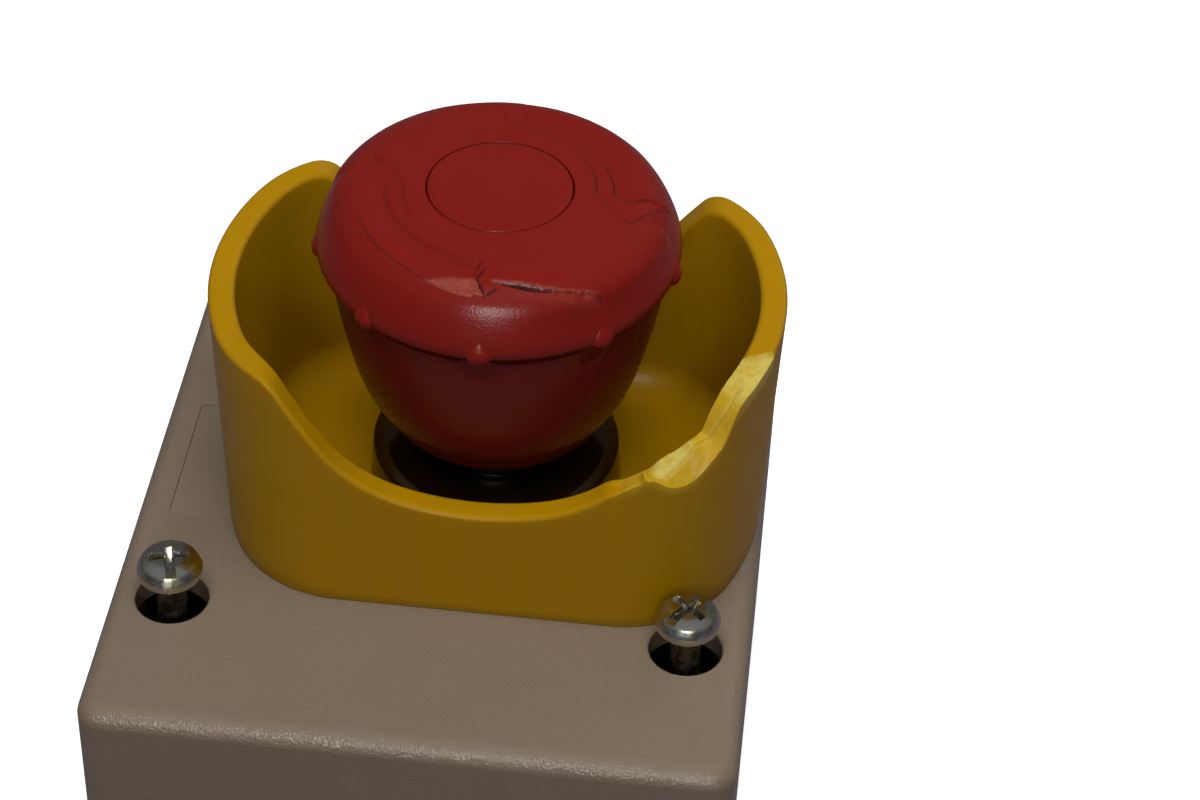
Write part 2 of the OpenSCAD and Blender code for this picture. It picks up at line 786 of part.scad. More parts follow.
module contact_bridge(side) {
    color([0.80, 0.50, 0.28]) at_block(side) difference() {
        translate([-strip_w / 2, -bridge_half, bridge_top - bridge_t]) cube([strip_w, 2 * bridge_half, bridge_t]);
        disc(plunger_pin_r + fit_gap, bridge_top - 3, bridge_top + 1);
    }
}

module contact_spring(side) {
    color([0.75, 0.75, 0.73]) at_block(side)
        coil(2.2, 0.3, block_bottom + cover_t, bridge_top - bridge_t, 7);
}

// Bent strip from the contact tongue, down the riser, to the terminal pad.
module fixed_contact() {
    difference() {
        union() {
            translate([-strip_w / 2, tongue_start, tongue_z]) cube([strip_w, riser_y + 1 - tongue_start, strip_t]);
            translate([-strip_w / 2, riser_y, pad_z]) cube([strip_w, strip_t, tongue_z + strip_t - pad_z]);
            translate([-strip_w / 2 - 1, riser_y, pad_z]) cube([strip_w + 2, 5.6, strip_t]);
        }
        translate([0, terminal_y, 0]) disc(terminal_r + run, pad_z - 1, pad_z + strip_t + 1);
    }
}

module fixed_contacts() {
    color([0.85, 0.68, 0.35]) for (side = [-1, 1]) at_block(side) both_ends() fixed_contact();
}

module terminal_screws() {
    color([0.72, 0.72, 0.70]) for (side = [-1, 1]) at_block(side) both_ends() translate([0, terminal_y, 0])
        difference() {
            union() {
                disc(terminal_head_r, terminal_head_z, pad_z - 3.8);
                disc(terminal_r, pad_z - 4, pad_z + 4);
            }
            drive_cross(terminal_head_z);
        }
}

module terminal_clamps() {
    color([0.80, 0.80, 0.78]) for (side = [-1, 1]) at_block(side) both_ends() translate([0, terminal_y, 0])
        difference() {
            translate([-clamp_size / 2, -clamp_size / 2, pad_z - 3.8 + fit_gap]) cube([clamp_size, clamp_size, 1]);
            disc(terminal_r + run, pad_z - 6, pad_z);
        }
}

// ---- Cable gland ----

// Turns a shape drawn on +Z so that it stands out of the back wall's outer face, along +Y.
module at_gland() {
    translate([0, box_l / 2, gland_z]) rotate([-90, 0, 0]) children();
}

module gland_body() {
    color([0.30, 0.30, 0.30]) at_gland() difference() {
        union() {
            rotate_extrude() polygon(concat([[0, -gland_reach], [gland_r - thread_depth, -gland_reach]],
                thread_points(gland_r, 0.2 - gland_reach, -wall - 0.2),
                [[gland_r, -wall - 0.2], [gland_r, washer_t], [0, washer_t]]));
            hexagon(gland_flat, washer_t, washer_t + hex_h);
            disc(collet_r, washer_t + hex_h - 0.5, washer_t + collet_h);
        }
        disc(cable_r + 1.5, -gland_reach - 1, washer_t + collet_h + 1);
        disc(gland_seat_r, seal_low, washer_t + collet_h + 1);
    }
}

module gland_washer() {
    color([0.06, 0.06, 0.06]) at_gland() ring(gland_r + run, washer_r, 0, washer_t);
}

module gland_lock_nut() {
    color([0.30, 0.30, 0.30]) at_gland() difference() {
        hexagon(gland_nut_flat, -wall - hex_h, -wall - fit_gap);
        disc(gland_r + run, -wall - 7, 0);
    }
}

module gland_seal() {
    color([0.08, 0.08, 0.08]) at_gland()
        ring(cable_r, gland_seat_r - 0.1, seal_low + fit_gap, washer_t + collet_h + 1);
}

module gland_dome_nut() {
    low = washer_t + 6;
    color([0.30, 0.30, 0.30]) at_gland() difference() {
        union() {
            hexagon(gland_flat, low, low + dome_hex_h);
            rotate_extrude() polygon(concat([[0, low + 6], [dome_r, low + 6], [dome_r, low + 8]],
                arc([dome_r - 3, low + 9.2], 3, 0, 90, 8), [[0, low + 12.2]]));
        }
        disc(collet_r + run, low - 1, low + 9);
        disc(cable_r + 1.2, low, low + 14);
    }
}

enclosure_base();
enclosure_lid();
lid_gasket();
legend_plate();
lid_screws();
screw_inserts();
screw_retainers();
guard_shroud();
operator_gasket();
operator_housing();
bezel_ring();
stem_seal();
lock_nut();
latch_clip();
mushroom_cap();
cap_plug();
cap_screw();
mushroom_skirt();
head_stem();
cross_pin();
pusher();
pusher_foot();
return_spring();
contact_holder();
holder_lever();
block_body(-1);  // block_body_left
block_body(1);  // block_body_right
block_cover(-1);  // block_cover_left
block_cover(1);  // block_cover_right
contact_plunger(-1);  // contact_plunger_left
contact_plunger(1);  // contact_plunger_right
contact_bridge(-1);  // contact_bridge_left
contact_bridge(1);  // contact_bridge_right
contact_spring(-1);  // contact_spring_left
contact_spring(1);  // contact_spring_right
fixed_contacts();
terminal_screws();
terminal_clamps();
gland_body();
gland_washer();
gland_lock_nut();
gland_seal();
gland_dome_nut();
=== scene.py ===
"""Looks of a boxed emergency stop button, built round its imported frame. Lengths are in millimetres."""

import json
import math

import bmesh
import bpy
import numpy as np
from mathutils import Matrix, Vector, noise


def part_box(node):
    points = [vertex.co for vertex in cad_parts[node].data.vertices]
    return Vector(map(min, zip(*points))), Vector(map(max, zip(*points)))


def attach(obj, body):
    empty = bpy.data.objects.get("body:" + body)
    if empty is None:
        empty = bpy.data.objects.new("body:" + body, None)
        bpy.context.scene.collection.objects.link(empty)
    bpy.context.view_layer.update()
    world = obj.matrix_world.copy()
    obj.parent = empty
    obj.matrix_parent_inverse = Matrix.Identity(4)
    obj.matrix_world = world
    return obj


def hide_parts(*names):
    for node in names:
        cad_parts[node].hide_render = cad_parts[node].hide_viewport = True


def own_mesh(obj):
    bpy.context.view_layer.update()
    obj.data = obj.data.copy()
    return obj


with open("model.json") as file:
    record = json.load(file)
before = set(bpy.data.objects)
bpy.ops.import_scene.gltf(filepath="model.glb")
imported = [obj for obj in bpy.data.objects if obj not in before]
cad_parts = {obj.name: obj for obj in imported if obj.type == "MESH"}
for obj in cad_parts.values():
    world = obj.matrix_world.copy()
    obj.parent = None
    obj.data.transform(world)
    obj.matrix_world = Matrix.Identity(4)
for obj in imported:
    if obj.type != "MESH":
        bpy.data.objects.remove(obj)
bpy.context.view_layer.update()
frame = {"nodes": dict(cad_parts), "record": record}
MM = 0.001


# ---- Sizes read from the frame, in millimetres ----

def box_mm(node):
    """Lowest and highest corner of a CAD node, in millimetres."""
    low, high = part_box(node)
    return np.array(low) / MM, np.array(high) / MM


LID_LOW, LID_HIGH = box_mm("enclosure_lid")
BASE_LOW, BASE_HIGH = box_mm("enclosure_base")
SHROUD_LOW, SHROUD_HIGH = box_mm("guard_shroud")
SCREWS_LOW, SCREWS_HIGH = box_mm("lid_screws")
PLUG_LOW, PLUG_HIGH = box_mm("cap_plug")
BEZEL_LOW, BEZEL_HIGH = box_mm("bezel_ring")

LID_TOP = LID_HIGH[2]
SEAM_Z = LID_LOW[2]
AXIS = (PLUG_LOW[:2] + PLUG_HIGH[:2]) / 2
HEAD_R = 20.0
HEAD_TOP = PLUG_HIGH[2]
STEM_R = 6.0


# ---- Points and meshes ----

def unit(vector):
    return vector / np.linalg.norm(vector)


def smooth(low, high, value):
    """0 below low, 1 above high, and an even curve between them. Low may be the larger one."""
    share = np.clip((np.asarray(value, float) - low) / (high - low), 0, 1)
    return share * share * (3 - 2 * share)


def arc(centre, radius, start, end, steps):
    """Points on a circular arc; angles in degrees."""
    angles = np.radians(np.linspace(start, end, steps + 1))
    return [(centre[0] + radius * math.cos(angle), centre[1] + radius * math.sin(angle)) for angle in angles]


def rounded(corners, closed=True, steps=6):
    """Outline through corners (x, y, radius), each corner rounded by its radius."""
    points = [np.array(corner[:2], float) for corner in corners]
    outline = []
    for i, (here, corner) in enumerate(zip(points, corners)):
        radius = corner[2]
        if radius == 0 or (not closed and i in (0, len(points) - 1)):
            outline.append(here)
            continue
        back = unit(points[i - 1] - here)
        ahead = unit(points[(i + 1) % len(points)] - here)
        half_angle = math.acos(np.clip(back @ ahead, -1, 1)) / 2
        start = here + back * radius / math.tan(half_angle)
        centre = here + unit(back + ahead) * radius / math.sin(half_angle)
        first = math.atan2(*(start - centre)[::-1])
        sweep = math.pi - 2 * half_angle
        if back[0] * ahead[1] - back[1] * ahead[0] > 0:
            sweep = -sweep
        for j in range(steps + 1):
            angle = first + sweep * j / steps
            outline.append(centre + radius * np.array((math.cos(angle), math.sin(angle))))
    return np.array(outline)


def shade(piece, sharp=38):
    """Smooth shading, with edges sharper than the given angle kept sharp."""
    piece.data.shade_smooth()
    piece.data.set_sharp_from_angle(angle=math.radians(sharp))


def mesh_piece(name, vertices, faces, sharp=38, attributes=None):
    """New object from vertices in millimetres. Attributes are numbers per vertex, for its material."""
    mesh = bpy.data.meshes.new(name)
    mesh.from_pydata((np.asarray(vertices, float) * MM).tolist(), [], faces)
    for key, values in (attributes or {}).items():
        layer = mesh.attributes.new(key, "FLOAT", "POINT")
        layer.data.foreach_set("value", np.asarray(values, np.float32).ravel())
    work = bmesh.new()
    work.from_mesh(mesh)
    bmesh.ops.remove_doubles(work, verts=work.verts, dist=0.001 * MM)
    bmesh.ops.recalc_face_normals(work, faces=work.faces)
    work.to_mesh(mesh)
    work.free()
    made = bpy.data.objects.new(name, mesh)
    bpy.context.scene.collection.objects.link(made)
    shade(made, sharp)
    return made


def loft(name, rings, closed=False, sharp=38, attributes=None):
    """Surface through rings of points, (ring, column, 3). It closes on itself, or has flat ends."""
    rings = np.asarray(rings, float)
    rows, columns = rings.shape[:2]
    nexts = np.roll(np.arange(columns), -1)
    faces = []
    for i in range(rows if closed else rows - 1):
        low = i * columns
        high = ((i + 1) % rows) * columns
        faces += [(low + j, low + k, high + k, high + j) for j, k in enumerate(nexts)]
    if not closed:
        faces.append(tuple(range(columns))[::-1])
        faces.append(tuple(range((rows - 1) * columns, rows * columns)))
    return mesh_piece(name, rings.reshape(-1, 3), faces, sharp, attributes)


def ring_about(centre, radius, z, angles):
    """Ring of points about a vertical axis through centre; radius and height may differ per angle."""
    z = z + np.zeros(len(angles))
    return np.column_stack((centre[0] + radius * np.cos(angles), centre[1] + radius * np.sin(angles), z))


def lathe(name, profile, centre, columns, closed=True, sharp=38):
    """Part about a vertical axis through centre. The profile is a list of (radius, height); both may differ
    per column."""
    angles = np.linspace(0, 2 * math.pi, columns, endpoint=False)
    return loft(name, [ring_about(centre, radius, z, angles) for radius, z in profile], closed, sharp)


def thread_rows(radius, low, high, pitch, depth):
    """Profile points of a thread, as plain ridges."""
    rows = []
    for i in range(int((high - low) / pitch)):
        rows += [(radius - depth, low + i * pitch), (radius, low + (i + 0.5) * pitch)]
    return rows


def boxy_ring(width, length, radius, z, centre=(0, 0)):
    """Ring of points round a rectangle with round corners, at height z."""
    half_w, half_l = width / 2, length / 2
    corners = [(half_w, -half_l), (half_w, half_l), (-half_w, half_l), (-half_w, -half_l)]
    outline = rounded([(x, y, max(radius, 0.01)) for x, y in corners], steps=8)
    return np.column_stack((outline + centre, np.full(len(outline), z)))


def modify(target, kind, **settings):
    """Adds a modifier to a piece and applies it to its mesh."""
    modifier = target.modifiers.new(kind, kind)
    for key, value in settings.items():
        setattr(modifier, key, value)
    depsgraph = bpy.context.evaluated_depsgraph_get()
    result = bpy.data.meshes.new_from_object(target.evaluated_get(depsgraph))
    target.modifiers.clear()
    target.data = result
    target.data.name = target.name


def cut(target, cutter):
    """Takes one solid away from another; the cutter is used up."""
    modify(target, "BOOLEAN", operation="DIFFERENCE", object=cutter, solver="EXACT")
    bpy.data.objects.remove(cutter)


def weigh_normals(target):
    """Lets large flat faces set the shading at their corners."""
    modify(target, "WEIGHTED_NORMAL", keep_sharp=True, weight=80)


def join(name, pieces):
    """One mesh from several pieces; the first piece's attributes are kept."""
    work = bmesh.new()
    for piece in pieces:
        work.from_mesh(piece.data)
    mesh = bpy.data.meshes.new(name)
    work.to_mesh(mesh)
    work.free()
    for piece in pieces:
        bpy.data.objects.remove(piece)
    made = bpy.data.objects.new(name, mesh)
    bpy.context.scene.collection.objects.link(made)
    return made


# ---- Materials ----

def add(tree, kind, settings=None, **inputs):
    """Adds a shader node with settings and inputs."""
    made = tree.nodes.new("ShaderNode" + kind)
    for key, value in (settings or {}).items():
        setattr(made, key, value)
    feed(tree, made, **inputs)
    return made


def feed(tree, node, **inputs):
    """Sets a node's inputs to values or other nodes' outputs; _ stands for a space in an input's name."""
    for key, value in inputs.items():
        connect(tree, node.inputs[key.replace("_", " ")], value)


def connect(tree, socket, value):
    if isinstance(value, bpy.types.NodeSocket):
        tree.links.new(value, socket)
    else:
        socket.default_value = value


def math_node(tree, operation, first, second=0.0):
    made = tree.nodes.new("ShaderNodeMath")
    made.operation = operation
    made.use_clamp = operation != "ADD"
    connect(tree, made.inputs[0], first)
    connect(tree, made.inputs[1], second)
    return made.outputs[0]


def mix(tree, share, first, second):
    """Colour between first and second."""
    return add(tree, "MixRGB", Fac=share, Color1=first, Color2=second).outputs["Color"]


def ramp(tree, value, low, high):
    """0 where value is below low, 1 where it's above high."""
    kind = {"interpolation_type": "SMOOTHSTEP"}
    made = add(tree, "MapRange", kind, Value=value, From_Min=low, From_Max=high)
    return made.outputs["Result"]


def between(tree, value, low, high):
    """Number from low to high as value goes from 0 to 1."""
    return add(tree, "MapRange", Value=value, To_Min=low, To_Max=high).outputs["Result"]


def spots(tree, place, size, detail=3.0, roughness=0.5):
    """Cloudy noise with features of the given size in millimetres."""
    made = add(tree, "TexNoise", Vector=place, Scale=1 / (size * MM), Detail=detail, Roughness=roughness)
    return made.outputs["Fac"]


def bumped(tree, height, depth, under=None, strength=1.0):
    """Normal of a surface that height roughens to a depth in millimetres, over another such normal."""
    made = add(tree, "Bump", Strength=strength, Distance=depth * MM, Height=height)
    if under:
        connect(tree, made.inputs["Normal"], under)
    return made.outputs["Normal"]


def colour(red, green, blue):
    return (red, green, blue, 1.0)


def scaled(rgba, factor):
    return colour(*(min(1.0, channel * factor) for channel in rgba[:3]))


def new_material(name):
    """Empty node material with its shader, and the place that textures are read at."""
    material = bpy.data.materials.new(name)
    material.use_nodes = True
    tree = material.node_tree
    tree.nodes.clear()
    shader = tree.nodes.new("ShaderNodeBsdfPrincipled")
    output = tree.nodes.new("ShaderNodeOutputMaterial")
    tree.links.new(shader.outputs[0], output.inputs["Surface"])
    place = tree.nodes.new("ShaderNodeTexCoord").outputs["Object"]
    return material, tree, shader, place


def moulded(name, base, roughness, grain=0.3, grain_depth=0.012, mottle=0.08, edge=0.0, specular=0.5):
    """Moulded plastic: cloudy colour, fine eroded texture, and edges worn lighter."""
    material, tree, shader, place = new_material(name)
    clouds = spots(tree, place, 9, 4)
    tint = mix(tree, clouds, scaled(base, 1 - mottle), scaled(base, 1 + mottle))
    if edge > 0:
        worn = edge_mask(tree, 0.45)
        scuffed = math_node(tree, "MULTIPLY", worn, ramp(tree, spots(tree, place, 1.2, 4), 0.35, 0.65))
        tint = mix(tree, math_node(tree, "MULTIPLY", scuffed, edge), tint, scaled(base, 1.5))
    fine = spots(tree, place, grain, 2)
    gloss = between(tree, spots(tree, place, 4, 3), roughness - 0.05, roughness + 0.06)
    normal = bumped(tree, fine, grain_depth)
    feed(tree, shader, Base_Color=tint, Roughness=gloss, Normal=normal, Specular_IOR_Level=specular)
    return material, tree, shader, place, tint, normal


def edge_mask(tree, width):
    """1 on edges within the given width in millimetres, 0 on flat faces."""
    soft = add(tree, "Bevel", {"samples": 4}, Radius=width * MM).outputs["Normal"]
    flat = add(tree, "NewGeometry").outputs["Normal"]
    product = add(tree, "VectorMath", {"operation": "DOT_PRODUCT"})
    tree.links.new(soft, product.inputs[0])
    tree.links.new(flat, product.inputs[1])
    return ramp(tree, product.outputs["Value"], 0.995, 0.90)


def attribute(tree, name):
    return add(tree, "Attribute", {"attribute_name": name}).outputs["Fac"]


def enclosure_plastic():
    """Beige plastic with an eroded texture whose points sparkle, and faint smudges."""
    base = colour(0.186, 0.140, 0.098)
    made = moulded("enclosure_plastic", base, 0.22, grain=0.45, grain_depth=0.055, mottle=0.05, edge=0.12,
                   specular=0.6)
    material, tree, shader, place, tint, normal = made
    smudge = ramp(tree, spots(tree, place, 14, 5, 0.6), 0.5, 0.75)
    grimy = mix(tree, math_node(tree, "MULTIPLY", smudge, 0.10), tint, scaled(base, 0.72))
    sparkle = bumped(tree, spots(tree, place, 0.28, 2), 0.14, normal)
    feed(tree, shader, Base_Color=grimy, Normal=sparkle)
    return material


def yellow_plastic():
    """Signal yellow; the vertex attribute stress is 1 where a break has whitened it."""
    base = colour(0.340, 0.174, 0.0004)
    made = moulded("yellow_plastic", base, 0.38, grain=0.35, grain_depth=0.010, mottle=0.07, specular=0.14)
    material, tree, shader, place, tint, normal = made
    streaked = add(tree, "Mapping", Vector=place, Scale=(1.0, 1.0, 0.12)).outputs["Vector"]
    streaks = ramp(tree, spots(tree, streaked, 2.5, 4), 0.35, 0.75)
    tint = mix(tree, math_node(tree, "MULTIPLY", streaks, 0.12), tint, colour(0.30, 0.18, 0.02))
    stress = attribute(tree, "stress")
    broken = ramp(tree, stress, 0.02, 0.30)
    tint = mix(tree, broken, tint, colour(0.46, 0.28, 0.014))
    streaky = math_node(tree, "ADD", ramp(tree, spots(tree, place, 0.9, 5, 0.6), 0.30, 0.68), 0.25)
    pale = math_node(tree, "MULTIPLY", ramp(tree, stress, 0.40, 1.0), streaky)
    tint = mix(tree, pale, tint, colour(0.50, 0.40, 0.09))
    chips = bumped(tree, spots(tree, place, 1.4, 4, 0.5), 0.12, normal, broken)
    feed(tree, shader, Base_Color=tint, Normal=chips)
    return material


def red_plastic():
    """Signal red; two vertex attributes mark lighter scraped places, with a painted highlight along the
    scratch's upper edge, and darker places: painted shade and dark lines.
    """
    base = colour(0.172, 0.0086, 0.0060)
    made = moulded("red_plastic", base, 0.27, grain=0.26, grain_depth=0.030, mottle=0.06, specular=0.17)
    material, tree, shader, place, tint, normal = made
    # Lighter scraped colour where the scuff attribute says; along the scratch's upper edge it is also a
    # painted highlight.
    scuff = attribute(tree, "scuff")
    rough = ramp(tree, spots(tree, place, 0.35, 4, 0.6), 0.3, 0.7)
    scraped = math_node(tree, "MULTIPLY", scuff, math_node(tree, "ADD", rough, 0.35))
    tint = mix(tree, scraped, tint, colour(0.26, 0.055, 0.040))
    # Painted shade: darker red where the cap's second attribute says, in the arrows' step corners and all
    # over the skirt; it also darkens the scratch's groove and the cracks.
    painted_shade = ramp(tree, spots(tree, place, 0.3, 4), 0.2, 0.5)
    shade_and_dark_lines = math_node(tree, "MULTIPLY", attribute(tree, "shade_and_dark_lines"), painted_shade)
    tint = mix(tree, shade_and_dark_lines, tint, colour(0.012, 0.006, 0.006))
    torn = bumped(tree, spots(tree, place, 0.25, 4, 0.6), 0.06, normal, scuff)
    feed(tree, shader, Base_Color=tint, Normal=torn)
    return material


def gloss_black_plastic():
    """Polished black whose shine is tinted warm: a painted reflection of the yellow guard around it."""
    base = colour(0.010, 0.0045, 0.0015)
    made = moulded("gloss_black_plastic", base, 0.13, grain_depth=0.002, specular=0.8)
    material, tree, shader = made[:3]
    # Painted reflection: the shine is tinted yellow-orange like the guard.
    feed(tree, shader, Specular_Tint=colour(1.0, 0.66, 0.22))
    return material


def zinc_steel():
    """Bright zinc plate with a faint yellow passivation and fine tool marks."""
    material, tree, shader, place = new_material("zinc_steel")
    patches = ramp(tree, spots(tree, place, 1.8, 4), 0.4, 0.65)
    tint = mix(tree, patches, colour(0.50, 0.50, 0.49), colour(0.56, 0.52, 0.33))
    gloss = between(tree, ramp(tree, spots(tree, place, 0.8, 4), 0.35, 0.7), 0.16, 0.34)
    marks = bumped(tree, spots(tree, place, 0.35, 3), 0.02, strength=0.8)
    feed(tree, shader, Base_Color=tint, Roughness=gloss, Normal=marks, Metallic=1.0)
    return material


def metal(name, base, roughness, grain):
    """Drawn or stamped metal with fine lines and small dull patches."""
    material, tree, shader, place = new_material(name)
    tint = mix(tree, spots(tree, place, 2.5, 4), scaled(base, 0.85), scaled(base, 1.1))
    gloss = between(tree, spots(tree, place, 1, 3), roughness - 0.08, roughness + 0.1)
    lines = bumped(tree, spots(tree, place, grain, 3), 0.01, strength=0.6)
    feed(tree, shader, Base_Color=tint, Roughness=gloss, Normal=lines, Metallic=1.0)
    return material


PLAIN_PLASTICS = {
    "black_plastic": dict(base=colour(0.012, 0.012, 0.013), roughness=0.42),
    "natural_plastic": dict(base=colour(0.42, 0.40, 0.34), roughness=0.45),
    "blue_plastic": dict(base=colour(0.020, 0.055, 0.140), roughness=0.42),
    "grey_plastic": dict(base=colour(0.045, 0.045, 0.048), roughness=0.45, grain_depth=0.02, edge=0.3),
    "seal_rubber": dict(base=colour(0.010, 0.010, 0.010), roughness=0.7, grain=0.2, specular=0.3),
}
FINISHES = {name: moulded(name, **look)[0] for name, look in PLAIN_PLASTICS.items()}
FINISHES |= {
    "enclosure_plastic": enclosure_plastic(),
    "yellow_plastic": yellow_plastic(),
    "red_plastic": red_plastic(),
    "gloss_black_plastic": gloss_black_plastic(),
    "zinc_steel": zinc_steel(),
    "spring_steel": metal("spring_steel", colour(0.42, 0.42, 0.41), 0.25, 0.2),
    "brass": metal("brass", colour(0.50, 0.33, 0.12), 0.28, 0.3),
}


def finish(piece, slot, body, *nodes):
    """Gives a new piece its finish and its body, and lets it stand for CAD nodes."""
    piece.data.materials.clear()
    piece.data.materials.append(FINISHES[slot])
    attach(piece, body)
    if nodes:
        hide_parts(*nodes)
    return piece


# ---- Enclosure ----

WALL = 3.0
BOX_W, BOX_L = LID_HIGH[0] - LID_LOW[0], LID_HIGH[1] - LID_LOW[1]
CORNER_R = 3.0
TOP_EDGE_R = 2.2
POCKET_R = 4.1
POCKET_DEPTH = 5.0
LIP_R = 0.3
SCREW_HEAD_R = 3.7
SCREW_BORE_R = 2.25
SCREW_PLACES = [(x, y) for x in (SCREWS_LOW[0] + SCREW_HEAD_R, SCREWS_HIGH[0] - SCREW_HEAD_R)
                for y in (SCREWS_LOW[1] + SCREW_HEAD_R, SCREWS_HIGH[1] - SCREW_HEAD_R)]
PANEL_HOLE_R = 11.2
SEAM_R = 0.35
FOOT_EDGE_R = 0.9
GLAND_LOW, GLAND_HIGH = box_mm("gland_body")
GLAND_Z = (GLAND_LOW[2] + GLAND_HIGH[2]) / 2
GLAND_HOLE_R = 10.02
GLAND_TURN = Matrix.Translation(Vector((0, BOX_L / 2, GLAND_Z)) * MM) @ Matrix.Rotation(-math.pi / 2, 4, "X")


def shell(name, levels):
    """Open box through (inset, height) levels; the corner radius shrinks with the inset."""
    rings = [boxy_ring(BOX_W - 2 * inset, BOX_L - 2 * inset, CORNER_R - inset, z) for inset, z in levels]
    return loft(name, rings)


def pocket_cutter(place):
    """Round pocket whose lip is rounded over."""
    floor, top, lip_r = LID_TOP - POCKET_DEPTH, LID_TOP + 1, POCKET_R + LIP_R
    lip = arc((lip_r, LID_TOP - LIP_R), LIP_R, 180, 92, 5)
    profile = [(0, floor), (POCKET_R, floor), *lip, (lip_r, top), (0, top)]
    return lathe("cutter", profile, place, columns=72, closed=False)


def bore_cutter(centre, radius, low, high, columns=64):
    profile = [(0, low), (radius, low), (radius, high), (0, high)]
    return lathe("cutter", profile, centre, columns, closed=False)


def make_lid():
    levels = [(WALL, LID_TOP - WALL), (WALL, SEAM_Z), (SEAM_R, SEAM_Z)]
    levels += arc((SEAM_R, SEAM_Z + SEAM_R), SEAM_R, 270, 180, 4)
    levels += arc((TOP_EDGE_R, LID_TOP - TOP_EDGE_R), TOP_EDGE_R, 180, 90, 10)
    levels.append((TOP_EDGE_R + 0.5, LID_TOP))
    lid = shell("enclosure_lid", levels)
    for place in SCREW_PLACES:
        cut(lid, pocket_cutter(place))
        cut(lid, bore_cutter(place, SCREW_BORE_R, SEAM_Z, LID_TOP))
    cut(lid, bore_cutter(AXIS, PANEL_HOLE_R, SEAM_Z, LID_TOP + 1, 96))
    low, high = box_mm("legend_plate")
    gap, sunk, edge = 0.035, 0.01, 0.12
    size = high - low
    centre = (low[:2] + high[:2]) / 2
    recess = [boxy_ring(size[0] + 2 * gap, size[1] + 2 * gap, 0.6, z, centre) for z in (low[2], LID_TOP + 1)]
    cut(lid, loft("cutter", recess))
    shade(lid, 40)
    weigh_normals(lid)
    finish(lid, "enclosure_plastic", "root", "enclosure_lid")

    top = LID_TOP - sunk
    levels = [(0, low[2] + 0.02), (0, top - edge), (edge * 0.3, top - edge * 0.3), (edge, top)]
    rings = [boxy_ring(size[0] - 2 * inset, size[1] - 2 * inset, 0.5, z, centre) for inset, z in levels]
    finish(loft("legend_plate", rings), "enclosure_plastic", "root", "legend_plate")


def make_base():
    top = BASE_HIGH[2]
    levels = [(WALL, WALL), (WALL, top), (SEAM_R, top)]
    levels += arc((SEAM_R, top - SEAM_R), SEAM_R, 90, 180, 4)
    levels += arc((FOOT_EDGE_R, FOOT_EDGE_R), FOOT_EDGE_R, 180, 270, 6) + [(FOOT_EDGE_R + 0.5, 0)]
    base = shell("enclosure_base", levels)
    fixing_x, fixing_y, fixing_r, lead = 20, 33, 2.65, 0.4
    hole = [(0, -1), (fixing_r + lead, -1), (fixing_r + lead, 0), (fixing_r, lead), (fixing_r, WALL + 1),
            (0, WALL + 1)]
    for x in (-fixing_x, fixing_x):
        for y in (-fixing_y, fixing_y):
            cut(base, lathe("cutter", hole, (x, y), 48, closed=False))
    gland_hole = bore_cutter((0, 0), GLAND_HOLE_R, -WALL - 1, 1, 96)
    gland_hole.data.transform(GLAND_TURN)
    cut(base, gland_hole)
    knockout(base, Matrix.Rotation(math.pi, 4, "X"))
    to_front = Matrix.Translation((0, BASE_LOW[1] * MM, GLAND_Z * MM))
    knockout(base, to_front @ Matrix.Rotation(math.pi / 2, 4, "X"))
    shade(base, 40)
    weigh_normals(base)
    finish(base, "enclosure_plastic", "root", "enclosure_base")


def knockout(base, turn):
    """Shallow ring groove of a cable knock-out, on the face that turn places it on."""
    outer, width, depth, corner = 10.1, 0.7, 0.35, 0.1
    inner = outer - width
    profile = rounded([(inner, -depth, corner), (outer, -depth, corner), (outer, 1, 0), (inner, 1, 0)])
    groove = lathe("cutter", profile, (0, 0), 96)
    groove.data.transform(turn)
    cut(base, groove)


def make_screws():
    """Pan head screws with a slot and a cross recess, each turned its own way."""
    turns = {("near", "left"): 107, ("near", "right"): 52, ("far", "left"): 20, ("far", "right"): 141}
    low, top = SCREWS_LOW[2], SCREWS_HIGH[2]
    head_low = top - 2.75
    shank_r, neck_r, thread_depth, pitch = 2.0, 1.7, 0.32, 0.7
    slot_w, slot_depth = 1.15, 0.75
    for x, y in SCREW_PLACES:
        thread = thread_rows(shank_r, low + 0.6, head_low - 6.4, pitch, thread_depth)
        profile = [(0, low), (shank_r - 0.6, low), *thread, (neck_r, head_low - 6.2),
                   (neck_r, head_low - 0.3)]
        profile += list(rounded([(shank_r, head_low, 0), (SCREW_HEAD_R - 0.15, head_low, 0.1),
                                 (SCREW_HEAD_R, head_low + 0.9, 0.6), (SCREW_HEAD_R - 0.55, top - 0.75, 1.0),
                                 (SCREW_HEAD_R - 1.6, top - 0.18, 2.0), (0, top, 0)], closed=False))
        screw = lathe("lid_screw", profile, (0, 0), 96, closed=False)
        slot = [boxy_ring(9, slot_w, 0.1, top - slot_depth), boxy_ring(9, slot_w + 0.1, 0.1, top + 1)]
        cut(screw, loft("cutter", slot))
        cut(screw, cross_cutter(top))
        shade(screw, 30)
        modify(screw, "BEVEL", width=0.05 * MM, segments=2, limit_method="ANGLE",
               angle_limit=math.radians(35))
        shade(screw, 60)
        place = ("near" if y < 0 else "far", "left" if x < 0 else "right")
        turn = Matrix.Rotation(math.radians(turns[place]), 4, "Z")
        screw.data.transform(Matrix.Translation((x * MM, y * MM, 0)) @ turn)
        screw.name = "lid_screw_" + "_".join(place)
        finish(screw, "zinc_steel", "lid_screws", "lid_screws")


def cross_cutter(top):
    """Tapered four-winged recess, by half span, half width of a wing and height over the head."""
    rings = []
    for span, half, z in ((0.9, 0.30, -2.1), (1.75, 0.42, -1.1), (2.5, 0.52, 0.1), (2.5, 0.52, 1)):
        wing = ((span, -half), (span, half), (half, half))
        ring = []
        for i in range(4):
            c, s = math.cos(i * math.pi / 2), math.sin(i * math.pi / 2)
            ring += [(c * x - s * y, s * x + c * y, top + z) for x, y in wing]
        rings.append(ring)
    return loft("cutter", rings)


# ---- Guard shroud ----

